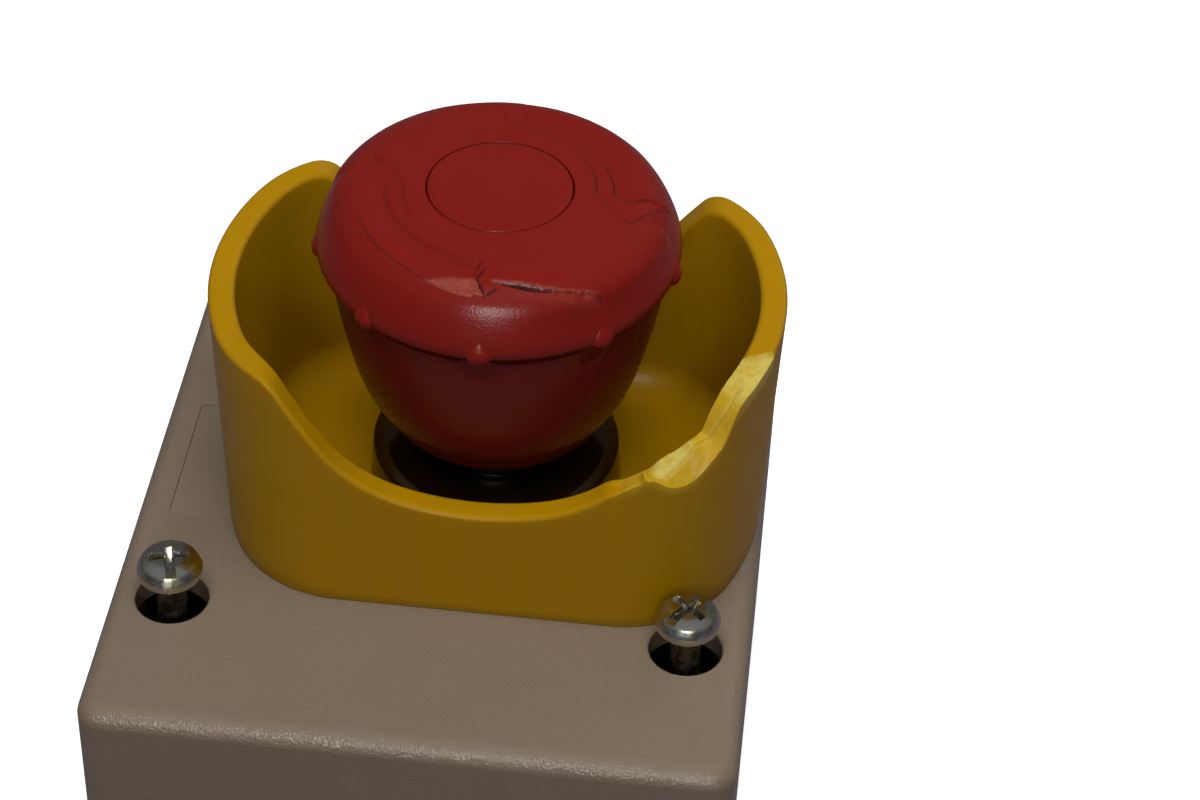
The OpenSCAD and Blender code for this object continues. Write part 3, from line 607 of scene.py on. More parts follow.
# The plan is a disc with flats at the front and back and round corners, and widens evenly upwards.
SHROUD_FLARE = 0.035
SHROUD_H = SHROUD_HIGH[2] - LID_TOP
SIDE_R = (SHROUD_HIGH[0] - SHROUD_LOW[0]) / 2 / (1 + SHROUD_FLARE)
FLAT_Y = 20.9
CORNER = 14.0
CORNER_Y = FLAT_Y - CORNER
CORNER_X = math.sqrt((SIDE_R - CORNER) ** 2 - CORNER_Y ** 2)
SIDE_ANGLE = math.atan2(CORNER_Y, CORNER_X)
SHROUD_WALL = 2.9
SHROUD_FLOOR = 2.0
VALLEY_H = 15.0
VALLEY_R, FLANK_R, HORN_R, HORN_X = 28.0, 16.0, 4.2, 24.5
VALLEY_ANGLE, FLANK_ANGLE = math.radians(15), math.radians(56)


def flared(height):
    """How much wider the shroud is at a height over the lid than at its foot."""
    return 1 + SHROUD_FLARE * np.asarray(height, float) / SHROUD_H


def rim_height(x):
    """Height of the rim over the lid at a distance x from the middle: valley, straight flank and horn."""
    x = np.abs(np.asarray(x, float))
    flank_x = (VALLEY_R - FLANK_R) * math.sin(VALLEY_ANGLE)
    flank_z = VALLEY_H + VALLEY_R - (VALLEY_R - FLANK_R) * math.cos(VALLEY_ANGLE)

    def drop(radius, middle):
        return np.sqrt(np.maximum(radius ** 2 - (x - middle) ** 2, 0))

    valley = VALLEY_H + VALLEY_R - drop(VALLEY_R, 0)
    flank = flank_z - drop(FLANK_R, flank_x)
    horn = SHROUD_H - HORN_R + drop(HORN_R, HORN_X)
    valley_end = VALLEY_R * math.sin(VALLEY_ANGLE)
    flank_end = flank_x + FLANK_R * math.sin(FLANK_ANGLE)
    horn_start = HORN_X - HORN_R * math.sin(FLANK_ANGLE)
    flank_top = flank_z - FLANK_R * math.cos(FLANK_ANGLE)
    horn_low = SHROUD_H - HORN_R + HORN_R * math.cos(FLANK_ANGLE)
    straight = flank_top + (horn_low - flank_top) * (x - flank_end) / (horn_start - flank_end)
    return np.select([x <= valley_end, x <= flank_end, x <= horn_start, x <= HORN_X],
                     [valley, flank, straight, horn], SHROUD_H)


class Walk:
    """Columns round the shroud's outline, from the middle of the front wall to the right."""

    def __init__(self):
        corner_turn = math.pi / 2 - SIDE_ANGLE
        # Legs of the right half: length, centre or start, radius (0 for a flat), direction at the start.
        self.legs = [(CORNER_X, (0, -FLAT_Y), 0, 0.0),
                     (CORNER * corner_turn, (CORNER_X, -CORNER_Y), CORNER, -math.pi / 2),
                     (SIDE_R * 2 * SIDE_ANGLE, (0, 0), SIDE_R, -SIDE_ANGLE),
                     (CORNER * corner_turn, (CORNER_X, CORNER_Y), CORNER, SIDE_ANGLE),
                     (CORNER_X, (CORNER_X, FLAT_Y), 0, math.pi)]
        self.half = sum(leg[0] for leg in self.legs)
        fine = np.arange(BREAK_START - 2, BREAK_END + 1, 0.18)
        rest = np.arange(BREAK_END + 1, 2 * self.half + BREAK_START - 2, 0.45)
        self.s = np.sort(np.concatenate((fine, rest)) % (2 * self.half))
        self.base = np.empty((len(self.s), 2))
        self.inward = np.empty((len(self.s), 2))
        for i, s in enumerate(self.s):
            self.base[i], self.inward[i] = self.point(s)

    def point(self, s):
        """Outline point at distance s, and the direction into the shroud there."""
        if s >= self.half:
            place, inward = self.point(s - self.half)
            return -place, -inward
        for length, centre, radius, angle in self.legs:
            if s <= length:
                break
            s -= length
        turn = angle + (s / radius if radius else 0)
        heading = np.array((math.cos(turn), math.sin(turn)))
        if radius:
            return centre + radius * heading, -heading
        return centre + s * heading, np.array((-heading[1], heading[0]))

    def at(self, inset):
        """Column places at a distance in from the outside; inset may differ per column."""
        return self.base + self.inward * np.reshape(inset, (-1, 1))


# The break in the rim, along the outline from the middle of the front wall: heights over the lid.
BREAK_START, BREAK_END = 13.5, 37.3
BREAK_OUTER = [(12.8, 18.6), (14.6, 19.8), (16.2, 21.2), (17.4, 22.0), (19.0, 22.8), (20.4, 21.7),
               (21.5, 21.2), (22.6, 21.1), (23.7, 21.5), (24.7, 22.4), (25.8, 23.5), (27.0, 24.7),
               (27.8, 26.1), (28.3, 27.6), (28.9, 28.7), (29.5, 29.4), (30.6, 29.8), (32.0, 30.0),
               (34.0, 30.2), (37.4, 30.35)]
BREAK_INNER = [(12.8, 18.6), (15.7, 20.2), (17.3, 20.9), (19.3, 21.9), (20.5, 22.9), (21.5, 23.4),
               (23.0, 24.0), (25.3, 24.8), (26.7, 25.3), (27.7, 27.3), (28.7, 28.6), (29.9, 29.7),
               (31.2, 30.2), (37.4, 30.4)]
CREASE_INSET = [(18.0, 0.6), (20.4, 0.8), (22.0, 1.3), (24.2, 2.0), (26.5, 1.9), (28.0, 1.4), (29.4, 1.1),
                (32.0, 1.1), (37.4, 1.0)]
CREASE_LIFT = [(12.8, 0.1), (19.0, 0.1), (20.4, 0.2), (22.4, 0.8), (24.5, 1.0), (26.6, 0.3), (28.0, 0.1),
               (29.4, -0.3), (32.0, 0.2), (34.0, 0.35), (37.4, 0.45)]
CRACK_DEPTH, CRACK_HALF = 0.35, 0.13
NIB_S, NIB_H = 18.2, 0.5


def cloud(x, y, fine_x, fine_y, layer):
    """Smooth noise at points, from about -1 to 1. Each layer has its own pattern."""
    x, y = np.broadcast_arrays(x, y)
    values = [noise.noise(Vector((a * fine_x, b * fine_y, layer))) for a, b in zip(x.ravel(), y.ravel())]
    return np.reshape(values, x.shape)


def along(points, s):
    """Straight-line reading of (place, value) points."""
    return np.interp(s, *zip(*points))


def broken_height(s, inset):
    """Height of the broken face at a place on the outline and a distance in from the outside."""
    outer, inner = along(BREAK_OUTER, s), along(BREAK_INNER, s)
    crease = along(CREASE_INSET, s)
    middle = outer + (inner - outer) * crease / SHROUD_WALL + along(CREASE_LIFT, s)
    rise = outer + (middle - outer) * inset / crease
    fall = middle + (inner - middle) * (inset - crease) / (SHROUD_WALL - crease)
    height = np.where(inset < crease, rise, fall)
    ripple = 0.12 * cloud(s, inset, 0.55, 0.9, 3.1) + 0.05 * cloud(s, inset, 1.9, 2.6, 8.7)
    crack = np.exp(-((inset - crease) / CRACK_HALF) ** 2) * smooth(19, 21, s) * smooth(33, 30, s)
    nib = np.exp(-((s - NIB_S) / 0.3) ** 2) * (inset < 1.9)
    return height + ripple - CRACK_DEPTH * crack + NIB_H * nib


def paleness(s, inset):
    """How whitened the broken face is: on its lower facet, in its upper part and beside the crease."""
    crease = along(CREASE_INSET, s)
    low_facet = smooth(crease - 0.15, crease + 0.1, inset) * smooth(18.5, 20, s) * smooth(26, 24, s)
    high_facet = smooth(28.5, 30.5, s) * (0.72 + 0.28 * smooth(crease + 0.15, crease - 0.1, inset))
    beside_crease = 0.6 * np.exp(-((np.abs(inset - crease) - 0.25) / 0.15) ** 2) * smooth(19, 21, s)
    pale = np.maximum(np.maximum(low_facet, high_facet), beside_crease)
    return smooth(13.5, 18, s) * (0.30 + 0.70 * pale)


def make_shroud():
    walk = Walk()
    s = walk.s
    edge_r, foot_r, fillet, hole_r = 0.6, 0.25, 4.0, 11.15
    rings, stress = [], []

    def top_height(inset):
        """Rim surface over the lid at an inset, with its rounded edges and the break."""
        height = VALLEY_H
        for _ in range(5):
            height = rim_height(walk.at(inset)[:, 0] * flared(height))
        steep = np.sqrt(1 + np.clip(np.gradient(height, s), -3, 3) ** 2)
        short = np.clip(edge_r - min(inset, SHROUD_WALL - inset), 0, edge_r)
        height = height - (edge_r - np.sqrt(edge_r ** 2 - short ** 2)) * steep
        broken = broken_height(s, inset)
        end = BREAK_END - 2.7 * inset / SHROUD_WALL
        share = smooth(BREAK_START, BREAK_START + 2.5, s) * smooth(end, end - 0.35, s)
        lowered = (s > BREAK_START) & (s < end) & (broken < height)
        return np.where(lowered, broken * share + height * (1 - share), height), lowered

    def add_ring(places, heights, marks=0.0):
        heights = np.broadcast_to(heights, s.shape)
        rings.append(np.column_stack((AXIS + places * flared(heights)[:, None], LID_TOP + heights)))
        stress.append(np.broadcast_to(marks, s.shape))

    direction = np.arctan2(walk.base[:, 1], walk.base[:, 0])
    hole = hole_r * np.column_stack((np.cos(direction), np.sin(direction)))
    add_ring(hole, 0)
    add_ring(walk.at(foot_r), 0)
    add_ring(walk.at(foot_r * 0.3), foot_r * 0.3)
    outer_top, _ = top_height(0.0)
    for share in np.linspace(0, 1, 15)[:-1]:
        add_ring(walk.at(0), foot_r + (outer_top - foot_r) * share)
    edge = edge_r * (1 - np.cos(np.radians(np.linspace(0, 80, 8))))
    insets = np.concatenate((edge, np.linspace(edge_r, SHROUD_WALL - edge_r, 16)))
    for inset in (*insets, *(SHROUD_WALL - edge[::-1])):
        height, lowered = top_height(inset)
        add_ring(walk.at(inset), height, np.where(lowered, paleness(s, inset), 0))
    inner_top, _ = top_height(SHROUD_WALL)
    low = SHROUD_FLOOR + fillet
    for share in np.linspace(1, 0, 15)[1:]:
        add_ring(walk.at(SHROUD_WALL), low + (inner_top - low) * share)
    for inset, z in arc((SHROUD_WALL + fillet, low), fillet, 180, 270, 12)[1:]:
        add_ring(walk.at(inset), z)
    inner_floor = walk.at(SHROUD_WALL + fillet + 0.2)
    for places in (inner_floor, inner_floor * 0.3 + hole * 0.7, hole):
        add_ring(places, SHROUD_FLOOR)
    shroud = loft("guard_shroud", rings, closed=True, sharp=32, attributes={"stress": np.array(stress)})
    finish(shroud, "yellow_plastic", "root", "guard_shroud")


# ---- Mushroom head ----

LIP_Z = 36.2
COLUMNS = 720

# One release arrow, pointing clockwise: edges as (angle, radius) and corners as (x, y). The other is its
# copy half a turn away.
ARROW_INNER = [(132, 9.8), (124, 9.9), (103, 10.5), (90, 10.8), (66, 10.8), (52, 10.7), (33, 10.6),
               (20, 10.5), (5, 10.35)]
ARROW_OUTER = [(5, 12.35), (28, 12.3), (42, 12.2), (55, 12.25), (66, 12.4), (80, 12.6), (88, 12.7)]
RECESS_OUTER = [(6.5, 15.6), (18, 15.8), (31, 15.9), (45, 16.1), (58, 16.3), (69, 16.7), (82, 17.2),
                (88, 17.3)]
ARROW_HEAD = [(10.4, 0.6), (11.9, -1.4), (14.4, -4.0), (18.2, 1.5)]
ARROW_BARB = [(15.7, 0.8), (14.0, -0.3), (12.5, 1.0)]
HEAD_ANGLE, TAIL_ANGLE, RECESS_END = ARROW_OUTER[0][0], ARROW_INNER[0][0], RECESS_OUTER[-1][0]
TERRACE_DEPTH, RECESS_DEPTH = 0.34, 0.75


def curved(edge, first, last):
    """Points along an edge given as (angle, radius), from the first angle to the last."""
    table = np.array(sorted(edge))
    angles = np.linspace(first, last, int(abs(last - first) / 3) + 2)
    radii = smooth_curve(table[:, 0], table[:, 1])(angles)
    return list(zip(radii * np.cos(np.radians(angles)), radii * np.sin(np.radians(angles))))


def polar(radius, angle):
    return (radius * math.cos(math.radians(angle)), radius * math.sin(math.radians(angle)))


def depth_inside(points, x, y):
    """How far points lie inside an outline; negative outside."""
    inside = np.zeros(x.shape, bool)
    for (ax, ay), (bx, by) in zip(points, points[1:] + points[:1]):
        crossing = (ay > y) != (by > y)
        inside ^= crossing & (x < (bx - ax) * (y - ay) / (by - ay + 1e-12) + ax)
    gap, _ = distance_to(points + points[:1], x, y)
    return np.where(inside, gap, -gap)


def arrow_shade(x, y):
    """Painted shade in the corners of the arrows' steps, where the step walls face away from the light. On
    the near copy only the outer step is painted.
    """
    lines = [(curved(ARROW_INNER, 100, HEAD_ANGLE) + ARROW_HEAD[:3], 0.50, 0.26),
             (ARROW_HEAD[2:], 0.45, 0.42),
             (curved(ARROW_OUTER, RECESS_END, HEAD_ANGLE) + ARROW_BARB[::-1], 0.55, 0.28)]
    painted_shade = np.zeros(x.shape)
    for line, strength, width in lines:
        gap, share = distance_to(line, x, y)
        painted_shade = np.maximum(painted_shade, strength * smooth(width, 0.06, gap) * smooth(0, 0.08, share))
    gap, share = distance_to(curved(RECESS_OUTER, RECESS_END, 18), -x, -y)
    return np.maximum(painted_shade, 0.6 * smooth(0.24, 0.06, gap) * smooth(0, 0.10, share) * smooth(1.0, 0.8, share))


def relief(x, y):
    """How far the two release arrows and the finger recesses lie below the cap's plain surface."""
    shared = curved(ARROW_OUTER, HEAD_ANGLE, RECESS_END)
    outside = [polar(18.5, angle) for angle in range(RECESS_END, TAIL_ANGLE + 1, 4)]
    terrace = curved(ARROW_INNER, TAIL_ANGLE, HEAD_ANGLE) + ARROW_HEAD + ARROW_BARB + shared + outside
    recess = ARROW_BARB[::-1] + curved(RECESS_OUTER, RECESS_OUTER[0][0], RECESS_END)
    recess += curved(ARROW_OUTER, RECESS_END, HEAD_ANGLE)
    lowered = np.zeros(x.shape)
    # The near copy is worn: its inner steps are softer and fade towards the operator.
    for flip, soft, wear, lip in ((1, 0.17, 0.0, 0.10), (-1, 0.38, 0.65, 0.28)):
        fx, fy = x * flip, y * flip
        turn = np.mod(np.degrees(np.arctan2(fy, fx)) + 90, 360) - 90
        radius = np.hypot(fx, fy)
        past_end = smooth(RECESS_END - 2, RECESS_END + 8, turn)
        reach = 17.3 + 1.9 * smooth(30, 0, turn)
        fade = smooth(TAIL_ANGLE, 90, turn) * smooth(reach, reach - 2.0, radius)
        fade *= 1 - wear * smooth(20, 75, turn)
        fade *= 1 - past_end * smooth(10.8, 16.5, radius)
        lowered += TERRACE_DEPTH * fade * smooth(-soft, soft, depth_inside(terrace, fx, fy))
        floor = RECESS_DEPTH - (RECESS_DEPTH - lip) * smooth(12.3, 16.0, radius)
        soft = np.where(radius > 14.8, 0.15, soft)
        lowered += floor * smooth(-soft, soft, depth_inside(recess, fx, fy))
    return lowered


# Marks on the cap, in millimetres from its axis.
WEDGE = [(-6.4, -15.6), (-2.6, -15.2), (-0.6, -15.2), (0.0, -16.2), (0.5, -17.1), (-1.1, -17.2),
         (-2.9, -16.9), (-5.1, -16.2)]
SCRATCH = [(1.2, -15.6), (3.4, -15.7), (5.2, -15.7), (7.0, -15.5), (8.6, -15.1), (10.1, -14.7),
           (12.2, -13.9)]
CRACKS = [[(0.6, -17.1), (0.0, -16.2), (-0.4, -15.3), (0.2, -14.0)], [(0.6, -17.1), (1.9, -16.3)],
          [(12.2, -13.8), (12.8, -14.1), (13.7, -14.2)]]


def distance_to(points, x, y):
    """Distance to a polyline, and the share of its length at the nearest place."""
    best = np.full(x.shape, 1e9)
    share = np.zeros(x.shape)
    spans = [np.linalg.norm(np.subtract(b, a)) for a, b in zip(points, points[1:])]
    total = sum(spans)
    done = 0.0
    for (ax, ay), (bx, by), span in zip(points, points[1:], spans):
        t = np.clip(((x - ax) * (bx - ax) + (y - ay) * (by - ay)) / span ** 2, 0, 1)
        gap = np.hypot(x - ax - t * (bx - ax), y - ay - t * (by - ay))
        nearer = gap < best
        best = np.where(nearer, gap, best)
        share = np.where(nearer, (done + t * span) / total, share)
        done += span
    return best, share


def cap_marks(x, y):
    """Depth of the scrapes; how scuffed the cap is, with a painted highlight along the scratch's upper edge;
    and how much darker it is painted: painted shade in the arrows' step corners, dark lines along the
    scratch and the cracks.
    """
    wobble = cloud(x, y, 1.3, 1.3, 5.0)
    fine = cloud(x, y, 2.2, 2.2, 9.0)
    wedge = smooth(-0.05, 0.12, depth_inside(WEDGE, x, y) + 0.10 * wobble)
    depth = wedge * (0.16 + 0.05 * fine)
    scuff = wedge * 0.9
    gap, share = distance_to(SCRATCH, x, y)
    width = 0.10 + 0.34 * np.exp(-((share - 0.32) / 0.22) ** 2) + 0.05 * wobble
    below = y < np.interp(x, [p[0] for p in SCRATCH], [p[1] for p in SCRATCH])
    groove = smooth(width, width * 0.2, gap)
    depth += groove * (0.26 + 0.08 * fine)
    # Raised burr along the scratch's upper edge, coloured like scraped plastic: partly a real scrape, partly
    # a painted highlight.
    upper_burr_and_highlight = np.exp(-((gap - width * 1.1) / 0.12) ** 2) * ~below
    depth -= 0.04 * upper_burr_and_highlight
    # Darker along the middle of the scratch's groove, and a thinner dark line further along it.
    shade_and_dark_lines = 0.95 * groove * smooth(0.0, 0.15, share) * smooth(0.72, 0.45, share)
    shade_and_dark_lines = np.maximum(shade_and_dark_lines, 0.6 * groove * smooth(0.4, 0.6, share))
    scuff = np.maximum(scuff, 0.75 * upper_burr_and_highlight)
    smear = smooth(1.4, 0.2, gap) * below * np.clip(0.35 + 0.5 * wobble, 0, 1) * smooth(0.1, 0.4, share)
    scuff = np.maximum(scuff, 0.7 * smear)
    for crack in CRACKS:
        line, _ = distance_to(crack, x, y)
        thin = smooth(0.15, 0.03, line + 0.03 * wobble)
        depth += 0.16 * thin
        shade_and_dark_lines = np.maximum(shade_and_dark_lines, 0.9 * thin)
    # Painted shade in the corners of the arrows' steps.
    shade_and_dark_lines = np.maximum(shade_and_dark_lines, arrow_shade(x, y))
    return depth, np.clip(scuff, 0, 1), np.clip(shade_and_dark_lines, 0, 1)


BUMP_ANGLES = [-168.9 + 40 * i for i in range(9)]


class HeadRings:
    """Rings about the head's axis. Radius, height over the lid and marks may differ per column."""

    def __init__(self, columns):
        self.angles = np.linspace(-180, 180, columns, endpoint=False)
        self.rings, self.scuff, self.shade_and_dark_lines = [], [], []

    def add(self, radius, z, scuff=0.0, shade_and_dark_lines=0.0):
        self.rings.append(ring_about(AXIS, radius, LID_TOP + z, np.radians(self.angles)))
        self.scuff.append(scuff + np.zeros(len(self.angles)))
        self.shade_and_dark_lines.append(shade_and_dark_lines + np.zeros(len(self.angles)))

    def build(self, name):
        marks = {"scuff": np.array(self.scuff), "shade_and_dark_lines": np.array(self.shade_and_dark_lines)}
        return loft(name, self.rings, closed=True, sharp=50, attributes=marks)


# The cap's top surface and side, as (radius, height over the top). Two opposite quarters are crisper.
SOFT_TOP = [(8, 0), (12, -0.12), (14.5, -0.22), (15.8, -0.55), (16.8, -1.05), (17.5, -1.65), (18.01, -2.2)]
CRISP_TOP = [(8, 0), (12, -0.12), (14.5, -0.30), (15.8, -0.60), (16.8, -1.02), (17.5, -1.45), (18.01, -1.85)]
LOW_SIDE = [(19.8, -6.0), (19.97, -6.9), (19.9, -7.6), (19.6, -8.0)]
SOFT_SIDE = [(18.0, -2.2), (18.45, -2.9), (19.0, -3.95), (19.45, -5.0)] + LOW_SIDE
CRISP_SIDE = [(18.0, -1.85), (18.5, -2.45), (18.95, -3.6), (19.4, -4.9)] + LOW_SIDE


def make_cap():
    head = HeadRings(COLUMNS)
    cos, sin = np.cos(np.radians(head.angles)), np.sin(np.radians(head.angles))
    edge_r, hole_r = SOFT_SIDE[0][0], 8.03
    top_z = HEAD_TOP - LID_TOP - 0.1
    turn = np.mod(head.angles + 90, 180) - 90
    crisp = smooth(-85, -55, turn) * smooth(-6, -10, turn)
    soft_top, crisp_top = smooth_curve(*zip(*SOFT_TOP)), smooth_curve(*zip(*CRISP_TOP))

    def top_surface(radius):
        plain = top_z + soft_top(radius) * (1 - crisp) + crisp_top(radius) * crisp
        scraped, scuff, shade_and_dark_lines = cap_marks(radius * cos, radius * sin)
        return plain - relief(radius * cos, radius * sin) - scraped, scuff, shade_and_dark_lines

    for radius, drop in ((hole_r, 3.0), (hole_r, 0.12), (hole_r + 0.04, 0.03)):
        head.add(radius, top_z - drop)
    for radius in (*np.linspace(hole_r + 0.12, 9.5, 6), *np.arange(9.6, 17.7, 0.10), 17.8, edge_r):
        head.add(radius, *top_surface(radius))
    edge_z, _, _ = top_surface(edge_r)
    drawn_edge = top_z + SOFT_SIDE[0][1] * (1 - crisp) + CRISP_SIDE[0][1] * crisp
    soft_path, crisp_path = dense(SOFT_SIDE, 30), dense(CRISP_SIDE, 30)
    steps = zip(np.linspace(0, 1, 30), soft_path, crisp_path)
    for share, (soft_r, soft_z), (crisp_r, crisp_z) in list(steps)[1:]:
        radius = soft_r * (1 - crisp) + crisp_r * crisp
        z = top_z + soft_z * (1 - crisp) + crisp_z * crisp + (edge_z - drawn_edge) * (1 - share) ** 6
        _, scuff, shade_and_dark_lines = cap_marks(radius * cos, radius * sin)
        fade = smooth(0.45, 0.15, share)
        head.add(radius, z, scuff * fade, shade_and_dark_lines * fade)
    low_r, low_z = LOW_SIDE[-1][0], top_z + LOW_SIDE[-1][1] - 0.05
    inside = [(low_r - 0.35, low_z - 0.10), (low_r - 0.8, low_z), (17.6, LIP_Z + 0.3), (16.8, LIP_Z + 1.6),
              (15.5, LIP_Z + 4.5), (10.0, LIP_Z + 5.0)]
    for radius, z in inside:
        head.add(radius, z)
    bumps = [grip_bump(angle, low_z) for angle in BUMP_ANGLES]
    cap = join("mushroom_cap", [head.build("mushroom_cap")] + bumps)
    finish(cap, "red_plastic", "head", "mushroom_cap")


def grip_bump(angle, lip_low):
    """Pear-shaped bump that stands out from the cap's lip and hangs a little below it."""
    half_width, reach, height, hang, columns = 1.48, 1.0, 3.2, 0.45, 28
    turn = math.radians(angle)
    around = np.linspace(0, 2 * math.pi, columns, endpoint=False)
    rings = []
    for share in np.linspace(0, 1, 22)[1:-1]:
        girth = math.sin(math.pi * share ** 0.62) ** 0.75
        sideways = half_width * girth * np.cos(around)
        radius = HEAD_R - 0.45 + reach * girth * np.sin(around) - 0.25 * share
        rings.append(np.column_stack((AXIS[0] + radius * math.cos(turn) - sideways * math.sin(turn),
                                      AXIS[1] + radius * math.sin(turn) + sideways * math.cos(turn),
                                      np.full(columns, LID_TOP + lip_low - hang + height * share))))
    return loft("grip_bump", rings, sharp=80)


def smooth_curve(places, values):
    """Smooth reading of values between places, by monotone cubic pieces."""
    x, y = np.array(places, float), np.array(values, float)
    slopes = np.gradient(y, x)

    def read(at):
        at = np.clip(at, x[0], x[-1])
        i = np.clip(np.searchsorted(x, at) - 1, 0, len(x) - 2)
        h = x[i + 1] - x[i]
        t = (at - x[i]) / h
        a = (1 + 2 * t) * (1 - t) ** 2 * y[i] + t * (1 - t) ** 2 * h * slopes[i]
        return a + t * t * (3 - 2 * t) * y[i + 1] + t * t * (t - 1) * h * slopes[i + 1]

    return read


def dense(points, count):
    """Smooth path through points, with count points evenly along it."""
    points = np.array(points, float)
    lengths = np.concatenate(([0], np.cumsum(np.linalg.norm(np.diff(points, axis=0), axis=1))))
    at = np.linspace(0, lengths[-1], count)
    return np.column_stack([smooth_curve(lengths, points[:, k])(at) for k in (0, 1)])


def make_plug():
    top, low = HEAD_TOP - 0.06, PLUG_LOW[2]
    edge = PLUG_HIGH[0] - AXIS[0] - 0.02
    wall_r = edge - 1.5
    profile = [(0, top - 1.4), (wall_r, top - 1.4), (wall_r, low), (edge, low), (edge, top - 0.22),
               (edge - 0.04, top - 0.12), (edge - 0.13, top - 0.05), (edge - 1, top - 0.02),
               (edge / 2, top - 0.01), (0, top)]
    finish(lathe("cap_plug", profile, AXIS, 160, closed=False), "red_plastic", "head", "cap_plug")


def make_skirt():
    """Tapered lower body, with a small scallop under each bump of the cap."""
    skirt = HeadRings(480)
    # The whole skirt, inside and out, is painted darker: painted shade under the cap's lip.
    painted_shade = 0.28
    scallop_z, scallop_r, scallop_depth = 34.2, 1.85, 0.30
    side = dense([(11.0, 13.62), (11.9, 13.75), (12.6, 14.4), (13.3, 15.6), (15.0, 18.6), (15.9, 21),
                  (17.0, 25.4), (17.75, 29), (18.3, 32.5), (18.5, 34.1), (18.55, 34.7)], 90)
    bore = STEM_R + 0.02
    skirt.add(bore, 16.0, shade_and_dark_lines=painted_shade)
    skirt.add(bore, 13.62, shade_and_dark_lines=painted_shade)
    for radius, z in side:
        hollow = 0
        for centre in BUMP_ANGLES:
            gap = np.abs(np.mod(skirt.angles - centre + 180, 360) - 180)
            reach = np.hypot(np.radians(gap) * radius, min(z - scallop_z, 0) * 0.8)
            hollow = np.maximum(hollow, smooth(scallop_r, scallop_r - 0.25, reach))
        skirt.add(radius - scallop_depth * hollow, z, shade_and_dark_lines=painted_shade)
    inside = [(18.3, 34.85), (17.2, 34.85), (17.2, 37.3), (15.9, 37.3), (15.6, 28.0), (13.7, 20.0),
              (10.4, 16.0)]
    for radius, z in inside:
        skirt.add(radius, z, shade_and_dark_lines=painted_shade)
    finish(skirt.build("mushroom_skirt"), "red_plastic", "head", "mushroom_skirt")


def make_bezel():
    low, high = BEZEL_LOW[2], BEZEL_HIGH[2]
    outer = BEZEL_HIGH[0] - AXIS[0]
    bore, wall, under = STEM_R + 0.7, 1.25, high - 0.93
    profile = rounded([(outer - wall, low, 0), (outer, low, 0.2), (outer - 0.1, low + 1.2, 0.3),
                       (outer - 0.35, high - 0.5, 0.7), (outer - 1.6, high, 0.8),
                       (outer - 5.2, high - 0.25, 0.8), (bore, high - 0.35, 0.15), (bore, under, 0),
                       (outer - wall, under, 0)])
    finish(lathe("bezel_ring", profile, AXIS, 128), "gloss_black_plastic", "root", "bezel_ring")


# ---- Cable gland ----

GLAND_COLUMNS = 96
GLAND_ANGLES = np.linspace(0, 2 * math.pi, GLAND_COLUMNS, endpoint=False)
GLAND_FLATS = 24
GLAND_BORE = 6.5
WASHER_T = 1.5


def hex_rows(low, high):
    """Rows of a hexagonal stretch with both edges turned down to a cone; each row is (radii, heights)."""
    face_r = GLAND_FLATS / 2 - 0.3
    hex_r = GLAND_FLATS / 2 / np.cos(np.mod(GLAND_ANGLES, math.pi / 3) - math.pi / 6)
    turned = np.maximum(hex_r - face_r, 0) * math.tan(math.radians(30))
    top, bottom = high - turned, low + turned
    return [(face_r, low), (hex_r - 0.05, bottom), (hex_r, bottom + 0.15), (hex_r, top - 0.15),
            (hex_r - 0.05, top), (face_r, high)]


def gland_part(name, rows, slot):
    """Part about the gland's axis, from rows of (radii, heights) over the wall's outside."""
    part = lathe(name, rows, (0, 0), GLAND_COLUMNS, sharp=35)
    part.data.transform(GLAND_TURN)
    finish(part, slot, "root", name)


def make_gland():
    low = WASHER_T
    body = [(GLAND_BORE, 8.5), (GLAND_BORE, -11), (9.5, -11), *thread_rows(10, -10.8, -WALL - 0.3, 1.5, 0.5),
            (9.95, -WALL), (9.95, low), *hex_rows(low, low + 5.5), (9.4, low + 5.5), (9.4, low + 13.6),
            (9.1, low + 14), (8, low + 14), (8, 8.5)]
    gland_part("gland_body", body, "grey_plastic")
    seal = [(5.0, low + 7.02), (7.9, low + 7.02), (7.9, low + 14.6), (7.5, low + 15), (5.5, low + 15),
            (5.0, low + 14.5)]
    gland_part("gland_seal", seal, "seal_rubber")
    washer = [(10.05, 0.0), (12.4, 0.0), (12.6, 0.3), (12.6, low - 0.3), (12.4, low), (10.05, low)]
    gland_part("gland_washer", washer, "seal_rubber")

    low = WASHER_T + 6
    ribs = 11.0 + 0.16 * np.cos(GLAND_ANGLES * 24)
    nut = [(9.5, low + 8.9), (9.5, low), *hex_rows(low, low + 7), (ribs, low + 7.05), (ribs, low + 8.6),
           (10.9, low + 9.0), *arc((8.1, low + 9.3), 2.9, 0, 82, 8), (GLAND_BORE, low + 12.2),
           (6.2, low + 11.9), (6.2, low + 8.9)]
    gland_part("gland_dome_nut", nut, "grey_plastic")


# ---- Springs ----

def make_spring(node, centre, radius, wire_r, turns):
    """Compression spring with closed end turns."""
    low, high = (corner[2] for corner in box_mm(node))
    steps, sides, end_closing = int(turns * 36), 10, 0.12
    share = np.linspace(0, 1, steps + 1)
    rise = share - end_closing * np.sin(share * 2 * math.pi)
    sweep = share * turns * 2 * math.pi
    ring = np.linspace(0, 2 * math.pi, sides, endpoint=False)
    reach = radius + wire_r * np.cos(ring)[None, :]
    points = np.empty((steps + 1, sides, 3))
    points[..., 0] = centre[0] + reach * np.cos(sweep)[:, None]
    points[..., 1] = centre[1] + reach * np.sin(sweep)[:, None]
    middle = low + wire_r + (high - low - 2 * wire_r) * rise
    points[..., 2] = middle[:, None] + wire_r * np.sin(ring)[None, :]
    spring = loft(node, points, sharp=60)
    finish(spring, "spring_steel", "root", node)
    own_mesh(spring)


